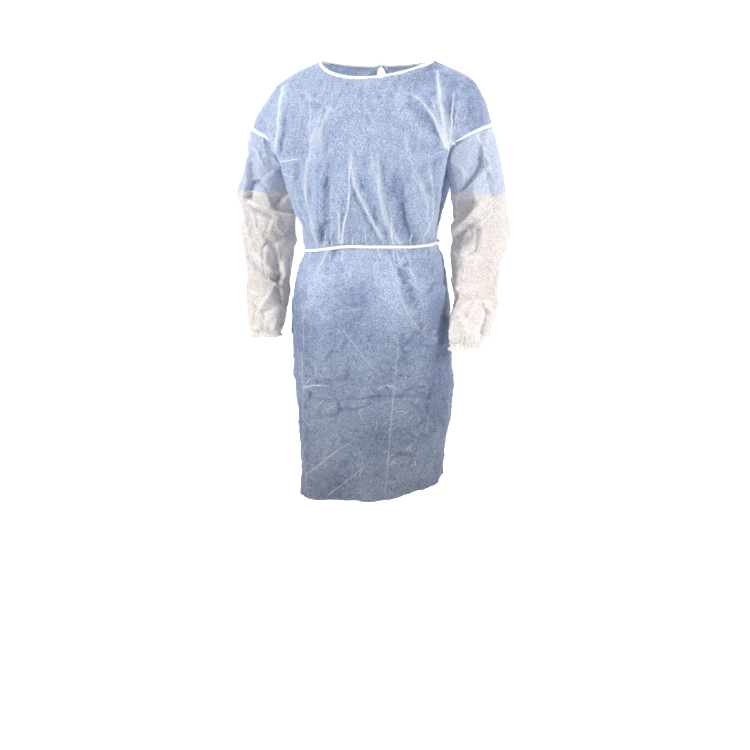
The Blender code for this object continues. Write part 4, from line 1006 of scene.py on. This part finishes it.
# Sleeves
sleeveLook = {
    "rings": {  # out, back, level, half width, half depth, slant
        "left": (
            (0.245, 0.010, -0.250, 0.0620, 0.064, 0.024), (0.253, 0.018, -0.310, 0.0650, 0.064, 0.010),
            (0.254, 0.026, -0.365, 0.0655, 0.064, 0.002), (0.253, 0.028, -0.430, 0.0630, 0.063, 0.000),
            (0.250, 0.006, -0.500, 0.0545, 0.060, 0.000), (0.252, -0.032, -0.562, 0.0500, 0.056, 0.004),
            (0.248, -0.064, -0.615, 0.0480, 0.050, 0.006), (0.241, -0.078, -0.641, 0.0410, 0.042, 0.006),
        ),
        "right": (
            (0.244, 0.010, -0.254, 0.0610, 0.063, 0.024), (0.260, 0.018, -0.310, 0.0640, 0.064, 0.008),
            (0.256, 0.026, -0.365, 0.0655, 0.064, 0.000), (0.259, 0.028, -0.430, 0.0600, 0.062, 0.000),
            (0.254, 0.008, -0.500, 0.0540, 0.060, 0.000), (0.250, -0.022, -0.550, 0.0510, 0.055, 0.000),
            (0.247, -0.050, -0.603, 0.0440, 0.048, 0.000), (0.244, -0.061, -0.626, 0.0390, 0.041, 0.000),
        ),
    },
    "soft": {  # along, around, slope, spread, width, rise
        "left": (
            (0.30, 0.30, 0.10, 0.16, 0.024, -0.0040), (0.40, 0.33, 0.25, 0.20, 0.024, 0.0065),
            (0.47, 0.38, 0.25, 0.18, 0.022, -0.0060), (0.54, 0.42, 0.25, 0.18, 0.024, 0.0045),
            (0.68, 0.14, -0.10, 0.16, 0.024, -0.0045),
        ),
        "right": (
            (0.30, 0.06, 0.10, 0.14, 0.024, 0.0060), (0.38, 0.12, 0.10, 0.16, 0.022, -0.0055),
            (0.46, 0.38, -0.20, 0.16, 0.024, -0.0060), (0.54, 0.42, 0.10, 0.16, 0.024, 0.0065),
            (0.70, 0.04, 0.00, 0.14, 0.024, -0.0050),
        ),
        "both": (
            (0.45, 0.80, 0.00, 0.20, 0.026, 0.0045), (0.82, 0.60, 0.05, 0.18, 0.024, 0.0035),
        ),
    },
    "creases": {  # path along and around (0 outside, 0.25 front, 0.5 inside), then as above
        "left": (
            (((0.00, 0.34), (0.07, 0.36), (0.14, 0.31), (0.22, 0.28)), 7, 3.6, "lip", (0, 0.4), 0.2),
            (((0.00, 0.20), (0.03, 0.18), (0.12, 0.14), (0.21, 0.11)), 7, 3.4, "ridge", (0, 0.4), 0.3),
            (((0.47, 0.44), (0.39, 0.32), (0.32, 0.24), (0.27, 0.14)), 8, 5.6, "lip", (0.1, 0.3), 0.35),
            (((0.48, 0.40), (0.42, 0.30), (0.37, 0.20)), 6.5, -4.4, "ridge", (0.1, 0.3), 0),
            (((0.31, 0.48), (0.35, 0.41), (0.33, 0.33)), 5, 2.8, "ridge", (0.3, 0.4), 0.2),
            (((0.48, 0.35), (0.53, 0.32), (0.58, 0.29)), 3, 1.2, "ridge", (0.2, 0.4), 0.3),
            (((0.59, 0.38), (0.56, 0.23), (0.53, 0.13)), 10, 2.8, "soft", (0.3, 0.3), 0),
            (((0.72, 0.46), (0.72, 0.27), (0.69, 0.14)), 10, 2.6, "soft", (0.3, 0.3), 0),
            (((0.81, 0.35), (0.78, 0.25), (0.78, 0.18), (0.79, 0.08)), 7, 3.8, "lip", (0.2, 0.1), 0.3),
            (((0.82, 0.37), (0.88, 0.30), (0.96, 0.24)), 5.5, 3.2, "ridge", (0.1, 0.1), 0.4),
            (((0.81, 0.16), (0.89, 0.17), (0.97, 0.20)), 5.5, 3.4, "ridge", (0.1, 0.1), 0.4),
            (((0.82, 0.13), (0.89, 0.13), (0.96, 0.14)), 6.5, -4.6, "ridge", (0.1, 0.1), 0),
            (((0.98, 0.47), (0.92, 0.43), (0.87, 0.36)), 5, 3.4, "ridge", (0, 0.4), 0.2),
            (((0.20, 0.02), (0.40, 0.97), (0.60, 0.02)), 6, 2.6, "ridge", (0.3, 0.3), 0.2),
        ),
        "right": (
            (((0.00, 0.05), (0.05, 0.16), (0.11, 0.23), (0.20, 0.27)), 7, 3.8, "lip", (0, 0.4), 0.3),
            (((0.04, 0.05), (0.12, 0.12), (0.20, 0.11)), 6, 3, "ridge", (0.1, 0.4), 0.2),
            (((0.27, 0.08), (0.27, 0.23), (0.28, 0.36)), 6, 3.4, "lip", (0.2, 0.3), 0.3),
            (((0.30, 0.14), (0.34, 0.26), (0.37, 0.36), (0.39, 0.47)), 8, 5.8, "lip", (0.1, 0.2), 0.3),
            (((0.34, 0.14), (0.38, 0.26), (0.42, 0.36)), 7, -4, "soft", (0.2, 0.3), 0),
            (((0.31, 0.07), (0.42, 0.13), (0.55, 0.19)), 10, 5.4, "lip", (0.1, 0.1), 0.3),
            (((0.55, 0.19), (0.62, 0.26), (0.70, 0.36)), 9, 4, "lip", (0.1, 0.2), 0.3),
            (((0.53, 0.40), (0.62, 0.40), (0.70, 0.37)), 7.5, 4.8, "ridge", (0.2, 0.1), 0.3),
            (((0.38, 0.35), (0.43, 0.33), (0.49, 0.39)), 4, 3.6, "lip", (0.2, 0.1), 0.3),
            (((0.40, 0.43), (0.46, 0.41), (0.49, 0.38)), 4, 3, "ridge", (0.2, 0.1), 0.4),
            (((0.60, 0.11), (0.66, 0.22), (0.72, 0.31)), 8, -3.2, "ridge", (0.1, 0.2), 0),
            (((0.73, 0.36), (0.83, 0.28), (0.94, 0.20)), 8, 5, "lip", (0.1, 0.2), 0.4),
            (((0.86, 0.46), (0.90, 0.36), (0.97, 0.26)), 5.5, 3.4, "ridge", (0.3, 0.2), 0.2),
            (((0.78, 0.09), (0.79, 0.20), (0.81, 0.28)), 6.5, 3.6, "ridge", (0.2, 0.3), 0.2),
            (((0.92, 0.38), (0.96, 0.36), (1.00, 0.34)), 4, 3, "ridge", (0.3, 0), 0.3),
            (((0.20, 0.02), (0.42, 0.97), (0.60, 0.02)), 6, 2.6, "ridge", (0.3, 0.3), 0.2),
        ),
    },
    "hidden": (  # at the back of both sleeves
        (((0.30, 0.70), (0.42, 0.82), (0.50, 0.95)), 7, 4, "lip", (0.2, 0.3), 0.2),
        (((0.55, 0.65), (0.60, 0.80), (0.70, 0.92)), 7, 3.4, "ridge", (0.2, 0.3), 0.2),
    ),
    "strength": 1.4, "lineWidth": 0.0026, "lineWhite": 0.4, "drawnIn": 0.0068, "flank": 0.45,
    "small": {"count": 46, "long": (0.015, 0.070), "width": 0.0038, "rise": 0.0013, "lean": 0, "spread": 60,
              "rows": (0.03, 0.97), "white": 0.7},
    "gathers": {"count": 46, "long": (0.012, 0.055), "drift": 3, "width": (0.002, 0.004),
                "rise": (0.0008, 0.0024), "fades": (0.0, 0.6), "white": (0, 0.3)},
    "finish": {
        "crushed": (),
        "facets": (  # size, tilt, seed, stretch, softness
            (0.055, 0.20, 81, (1.0, 1.0, 0.7), 0.15),
            (0.030, 0.10, 83, (1.0, 1.0, 0.8), 0.2),
            (0.014, 0.06, 85, (1.0, 1.0, 1.0)),
        ),
    },
    "ripple": (0.10, 0.0014, 8),
}


def sleeveRing(side, ring, turns):
    out, back, level, halfWidth, halfDepth, slant = ring
    across = signs[side] * (out + halfWidth * np.cos(turns))
    return np.stack([across, back - halfDepth * np.sin(turns), level + slant / 2 * np.cos(turns)], axis=1)


def sleeveSheet(side):
    turns = np.linspace(0, 2 * pi, fine["sleeveColumns"], endpoint=False)
    ways, rises = np.where(turns <= pi, -1, 1), np.abs(1 - turns / pi)
    first = np.array([armholePoint(side, way, rise) for way, rise in zip(ways, rises)])
    under = (1 - np.cos(turns))[:, None] / 2
    first += unit(first.mean(axis=0) - first) * sleeveLook["drawnIn"] * under**1.5
    rings = np.array([first] + [sleeveRing(side, ring, turns) for ring in sleeveLook["rings"][side]])
    knots = rowKnots(rings)
    places = np.linspace(0, knots[-1], fine["sleeveRows"] + 1)
    grid = spline(knots, rings, places)
    outward = unit(grid - grid.mean(axis=1, keepdims=True))
    along, around = (places / knots[-1])[:, None], (turns / (2 * pi))[None, :]
    lift = np.zeros(grid.shape[:2])
    soft = sleeveLook["soft"]
    for softAlong, softAround, slope, spread, width, rise in soft[side] + soft["both"]:
        away = (around - softAround + 0.5) % 1.0 - 0.5
        off = (along - softAlong - slope * away) * knots[-1]
        lift += rise * hump(away, spread) * hump(off, width)
    return startSheet(grid + outward * lift[..., None], outward, ring=True), np.abs(np.sin(turns))


def cuffGathers(sheet):  # folds that run up from the elastic
    rows, columns = sheet["lift"].shape
    look, steps = sleeveLook["gathers"], np.linspace(0, 1, 7)
    for _ in range(look["count"]):
        column, length = noise.uniform(0, columns), noise.uniform(*look["long"]) / fine["cell"]
        drift = steps * noise.normal(0, look["drift"])
        place = np.stack([rows - 1.5 - steps * length, column + drift], axis=1)
        width, rise = noise.uniform(*look["width"]), noise.uniform(*look["rise"]) * noise.choice((-1, 1))
        press(sheet, place, width, rise, "ridge", look["fades"], noise.uniform(*look["white"]))


sleevePieces = {}
for number, side in enumerate(signs):
    sheet, facing = sleeveSheet(side)
    rows, columns = sheet["lift"].shape
    for path, width, rise, kind, fades, white in sleeveLook["creases"][side] + sleeveLook["hidden"]:
        place = curvePath(np.array(path) * (rows - 1, columns))
        up = sleeveLook["strength"] * rise / perMetre
        press(sheet, place, width / perMetre, up, kind, fades, white)
        if rise > 0:
            sheet["lines"].append((place, sleeveLook["lineWidth"], fades, sleeveLook["lineWhite"] + white))
    sheet["pleats"] = sheet["lift"].copy()
    randomCreases(sheet, **sleeveLook["small"])
    cuffGathers(sheet)
    crumple(sheet, sleeveLook["finish"], sleeveLook["flank"] + (1 - sleeveLook["flank"]) * facing, number)
    size, strength, seed = sleeveLook["ripple"]
    sheet["lift"] += ripple(sheet["grid"], size, strength, seed + number)
    sheet["lift"] *= smoothStep(-0.5, 4.0, np.arange(rows))[:, None]
    piece = finishSheet("sleeve" + side.capitalize(), sheet, turn=side == "left")
    sleevePieces[side] = addPiece(piece, "sleeve_" + side, sleeveCloths[side])
print("sleeves")

# Elastic cuffs: drawn in, then a short ruffle
cuff = {
    "columns": 300, "rows": 22, "length": 0.018, "waves": (17, 26, 33, 41), "ruffle": 0.0009, "sag": 0.0012,
    "hoops": (0.0, 0.30, 0.55, 0.75, 1.0), "size": (1.0, 0.91, 0.87, 0.90, 0.97),
}
cuffPieces = {}
for side, sign in signs.items():
    last, end = sleeveLook["rings"][side][-2:]
    fall = unit(np.subtract(end[:3], last[:3]) * (sign, 1, 1))
    turns = np.linspace(0, 2 * pi, cuff["columns"], endpoint=False)
    base = sleeveRing(side, end, turns)
    centre = base.mean(axis=0)
    wave = np.zeros(len(turns))
    for waves in cuff["waves"]:
        wave += np.cos(waves * turns + noise.uniform(0, 2 * pi)) * noise.uniform(0.5, 1.0)
    rows = []
    for t in np.linspace(0, 1, cuff["rows"]):
        size = np.interp(t, cuff["hoops"], cuff["size"])
        ruffle = cuff["ruffle"] * wave * (0.35 + 0.9 * abs(t - 0.5) * 2)
        sag = cuff["sag"] * np.cos(5 * turns + 1) * t
        hoop = centre + (base - centre) * size + unit(base - centre) * ruffle[:, None]
        rows.append(hoop + fall * (t * cuff["length"] + sag[:, None]))
    count = cuff["rows"] * cuff["columns"]
    layers = {"crease": np.zeros(count), "paintedShading": np.full(count, 0.5)}
    piece = meshOf("cuff" + side.capitalize(), rows, ring=True, turn=side == "left", layers=layers)
    cuffPieces[side] = addPiece(piece, "cuff_" + side, sleeveCloths[side])
print("cuffs")


# Trim: strips that lie on the panels
trimStrip = {"rows": 6, "thick": 0.0006, "calm": 15}


def addWall(piece, thickness, offset):
    wall = piece.modifiers.new("wall", "SOLIDIFY")
    wall.thickness = thickness
    wall.offset = offset


def strip(name, node, spine, across, out, look, turn=False):
    wave = np.cumsum(noise.normal(0, 1, len(spine)))
    wave = np.convolve(wave - wave.mean(), np.ones(trimStrip["calm"]) / trimStrip["calm"], "same")
    wave = wave / max(np.abs(wave).max(), 1e-9) * look["wobble"]
    rows = []
    for t in np.linspace(0, 1, trimStrip["rows"]):
        up = look["bulge"] * sin(pi * t)
        rows.append(spine + across * (t * look["width"] + wave[:, None]) + out * up)
    piece = meshOf(name, rows, ring=True, turn=turn)
    addWall(piece, trimStrip["thick"], 1.0)
    return addPiece(piece, node, whiteTrim)


tape = {"width": 0.0075, "bulge": 0.0008, "wobble": 0.0, "in": 0.0010, "out": 0.0008, "rounds": 6}
for side in signs:
    edge, inner = (-1, -3) if side == "left" else (0, 2)
    start, back = fine["bodyRows"], backs[side]
    spine = np.concatenate([front["final"][start:, edge][::-1], back["final"][start:, 0][1:-1]])
    wayFront = unit(front["grid"][start:, inner] - front["grid"][start:, edge])
    wayBack = unit(back["grid"][start:, 2] - back["grid"][start:, 0])
    way = np.concatenate([wayFront[::-1], wayBack[1:-1]])
    out = np.concatenate([front["normals"][start:, edge][::-1], back["normals"][start:, 0][1:-1]])
    for _ in range(tape["rounds"]):
        way, out = (unit(np.roll(v, 1, axis=0) + v + np.roll(v, -1, axis=0)) for v in (way, out))
    spine = spine + way * tape["in"] + out * tape["out"]
    name = "armholeTape" + side.capitalize()
    strip(name, "armhole_tape_" + side, spine, way, out, tape, turn=side == "right")

# Waist tie all round
tie = {"width": 0.0068, "bulge": 0.0012, "wobble": 0.0014, "out": 0.0016, "overBack": 0.0030}


def tieLines(side):
    grid, normals = sampleSide(side, side["tiePlace"] + np.array((-0.004, 0.0, 0.004)))
    return grid[1], unit(grid[2] - grid[0]), normals[1]


tieFront, tieBack = tieLines(frontSide), tieLines(backSide)
tieBack = tieBack[0] + tieBack[2] * tie["overBack"], *tieBack[1:]
spine, up, out = (np.concatenate([ahead, behind[::-1][2:-2:2]]) for ahead, behind in zip(tieFront, tieBack))
waistTie = strip("waistTie", "waist_tie", spine - up * tie["width"] / 2 + out * tie["out"], up, out, tie)

# Neck binding folded over the rim, its ends led into the knot
binding = {
    "width": 0.0062, "lift": 0.0010, "bulge": 0.0006, "round": 8, "thick": 0.0005, "ends": (0.9, 0.6, 0.3),
}


def rimOf(sheet, shares):
    picked = np.abs(shares) <= body["chest"]
    return sheet["grid"][-1][picked], sheet["grid"][-4][picked], sheet["normals"][-1][picked]


def flattened(ways, run):  # made square to the line that they go round
    return ways - run * (ways * run).sum(axis=1, keepdims=True)


rightRim, leftRim = (rimOf(backs[side], backShares(backAll[0][-1])) for side in ("right", "left"))
rims = zip(rightRim, rimOf(front, frontSide["shares"]), leftRim)
rim, down, out = (np.concatenate([right[::-1], middle, left]) for right, middle, left in rims)
down = unit(down - rim)
knotPlace = np.mean([tuple(corner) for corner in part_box("neck_knot")], axis=0)
ends = np.array(binding["ends"])[:, None]
toKnot, fromKnot = ends * (knotPlace - rim[0]), ends[::-1] * (knotPlace - rim[-1])
rim = np.concatenate([rim[:1] + toKnot, rim, rim[-1:] + fromKnot])
down, out = (np.concatenate([ways[[0] * 3], ways, ways[[-1] * 3]]) for ways in (down, out))
run = unit(np.gradient(rim, axis=0))
for _ in range(8):
    down, out = (unit(np.concatenate([v[:1], v[:-2] + v[1:-1] * 2 + v[2:], v[-1:]])) for v in (down, out))
down = unit(flattened(down, run))
out = unit(flattened(out, run) - down * (out * down).sum(axis=1, keepdims=True))
width, lift = binding["width"], binding["lift"]
profile = [(width * t, lift + binding["bulge"] * sin(pi * t)) for t in np.linspace(1, 0, 6)]
profile += [(-lift * sin(a), lift * cos(a)) for a in np.linspace(0, pi, binding["round"])[1:-1]]
profile += [(width * t, -lift) for t in np.linspace(0, 1, 4)]
piece = meshOf("neckBinding", [rim + down * along + out * off for along, off in profile])
addWall(piece, binding["thick"], 0.0)
neckBinding = addPiece(piece, "neck_binding", whiteTrim)
print("tapes, tie and binding")


# Knots and tails, kept clear of the back panels
def tube(name, node, path, width, thick, ways, sides=10):
    run = unit(np.gradient(path, axis=0))
    across = unit(flattened(ways, run))
    out = np.cross(run, across)
    turns = np.linspace(0, 2 * pi, sides, endpoint=False)
    wide, high = (width / 2 * np.cos(turns))[:, None], (thick / 2 * np.sin(turns))[:, None]
    rows = [p + a * wide + o * high for p, a, o in zip(path, across, out)]
    return addPiece(meshOf(name, rows, ring=True), node, whiteTrim)


clearance = {"reach": 0.006, "rounds": 12}
backPoints = np.concatenate([backs[side]["final"].reshape(-1, 3) for side in signs])


def clearOfBack(path, gap):
    least = path[:, 1].copy()  # how far behind the panels each point has to be
    for index, point in enumerate(path):
        near = (np.abs(backPoints[:, [0, 2]] - point[[0, 2]]) < clearance["reach"]).all(axis=1)
        if near.any():
            least[index] = max(least[index], backPoints[near, 1].max() + gap)
    depth = least.copy()
    for _ in range(clearance["rounds"]):
        depth[1:-1] = np.maximum(least[1:-1], (depth[:-2] + 2 * depth[1:-1] + depth[2:]) / 4)
    path[:, 1] = depth


knots = {"deep": 0.55, "clear": 0.0015, "size": 0.72, "width": 0.62, "thick": 0.0016, "loops": 1.6}
knotCentres = {}
for end in ("neck", "waist"):
    low, high = (np.array(corner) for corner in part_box(end + "_knot"))
    half = (high - low) / 2
    behind = np.array([(low + high) / 2])
    clearOfBack(behind, half[1] * knots["deep"] + knots["clear"])
    knotCentres[end] = behind[0]
    t = np.linspace(0, 2 * pi, 90)
    across = (np.sin(t) + knots["loops"] * np.sin(2 * t)) / (1 + knots["loops"])
    up = (np.cos(t) - knots["loops"] * np.cos(2 * t)) / (1 + knots["loops"])
    loop = np.stack([across, np.sin(3 * t) * knots["deep"], up], axis=1)
    path = behind[0] + loop * half * (knots["size"], knots["deep"], knots["size"])
    ways = np.stack([np.cos(t), 0.3 + 0 * t, np.sin(t)], axis=1)
    tube(end + "Knot", end + "_knot", path, half[2] * knots["width"], knots["thick"], ways)

tail = {
    "width": 0.0080, "thick": 0.0010, "sway": 0.0015, "twist": 0.5,
    "gap": 0.0022, "step": 0.006, "slice": 0.0012,
}
tailPieces = {}
for end, side in (("neck", "left"), ("neck", "right"), ("waist", "left"), ("waist", "right")):
    node = end + "_tail_" + side
    points = np.array([v.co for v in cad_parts[node].data.vertices])
    rows = [knotCentres[end]]
    for level in np.unique(points[:, 2].round(4))[::-1]:
        row = points[np.abs(points[:, 2] - level) < tail["slice"]].mean(axis=0)
        if np.linalg.norm(row - rows[-1]) > tail["step"]:
            rows.append(row)
    path = smoothPath(curvePath(rows, 60))
    sway = np.linspace(0, 1, len(path))
    path[:, 0] += tail["sway"] * np.sin(sway * 9) * sway
    clearOfBack(path, tail["gap"])
    twist = tail["twist"] * np.sin(sway * 5 + len(tailPieces)) * sway
    ways = np.stack([np.cos(twist), np.sin(twist), 0 * sway], axis=1)
    name = end + "Tail" + side.capitalize()
    tailPieces[name] = (tube(name, node, path, tail["width"], tail["thick"], ways), path)
print("knots and tails")

# What each sheet was cut from
for piece in [frontPanel, *backPanels.values(), *sleevePieces.values(), *cuffPieces.values()]:
    print("area", piece.name, round(sum(face.area for face in piece.data.polygons), 4))

# A pale floor that curves up behind, and soft light
stage = {
    "floor": -1.62, "near": -7.0, "bend": 0.8, "radius": 3.2, "top": 4.0, "half": 7.0,
    "worldTone": (0.97, 0.98, 1.0, 1), "world": 0.24,
    "finish": {"Base Color": (0.88, 0.88, 0.88, 1), "Roughness": 0.9, "Specular IOR Level": 0.1,
               "Emission Color": (1, 1, 1, 1), "Emission Strength": 0.36},
    "lamps": (  # name, place, aim, size, power, tint
        ("key", (-2.5, -1.9, 1.1), (0, 0, -0.5), 0.5, 106.0, (1.0, 0.99, 0.97)),
        ("side", (2.7, -1.3, 0.4), (0, 0, -0.5), 0.7, 62.0, (1.0, 0.98, 0.96)),
        ("behind", (0.2, 0.9, 3.0), (0, 3.6, -0.6), 2.5, 150.0, (1.0, 1.0, 1.0)),
    ),
}
bend, radius = stage["bend"], stage["radius"]
profile = [(stage["near"], stage["floor"])]
for angle in np.linspace(0, pi / 2, 24):
    profile.append((bend + radius * sin(angle), stage["floor"] + radius * (1 - cos(angle))))
profile.append((bend + radius, stage["top"]))
floor = meshOf("floor", [[(x * stage["half"], y, z) for x in (-1, 1)] for y, z in profile])
floor.data.materials.append(newMaterial("paleFloor", stage["finish"])[0])
world = bpy.data.worlds.new("studio")
world.use_nodes = True
background = world.node_tree.nodes["Background"]
background.inputs["Color"].default_value = stage["worldTone"]
background.inputs["Strength"].default_value = stage["world"]
bpy.context.scene.world = world
bpy.context.scene.view_settings.view_transform = "Standard"
for name, place, aim, size, power, tint in stage["lamps"]:
    light = bpy.data.lights.new(name, "AREA")
    light.size, light.energy, light.color = size, power, tint
    lamp = bpy.data.objects.new(name, light)
    lamp.location = place
    lamp.rotation_mode = "QUATERNION"
    lamp.rotation_quaternion = (Vector(aim) - Vector(place)).to_track_quat("-Z", "Y")
    bpy.context.collection.objects.link(lamp)
print("stage and light")
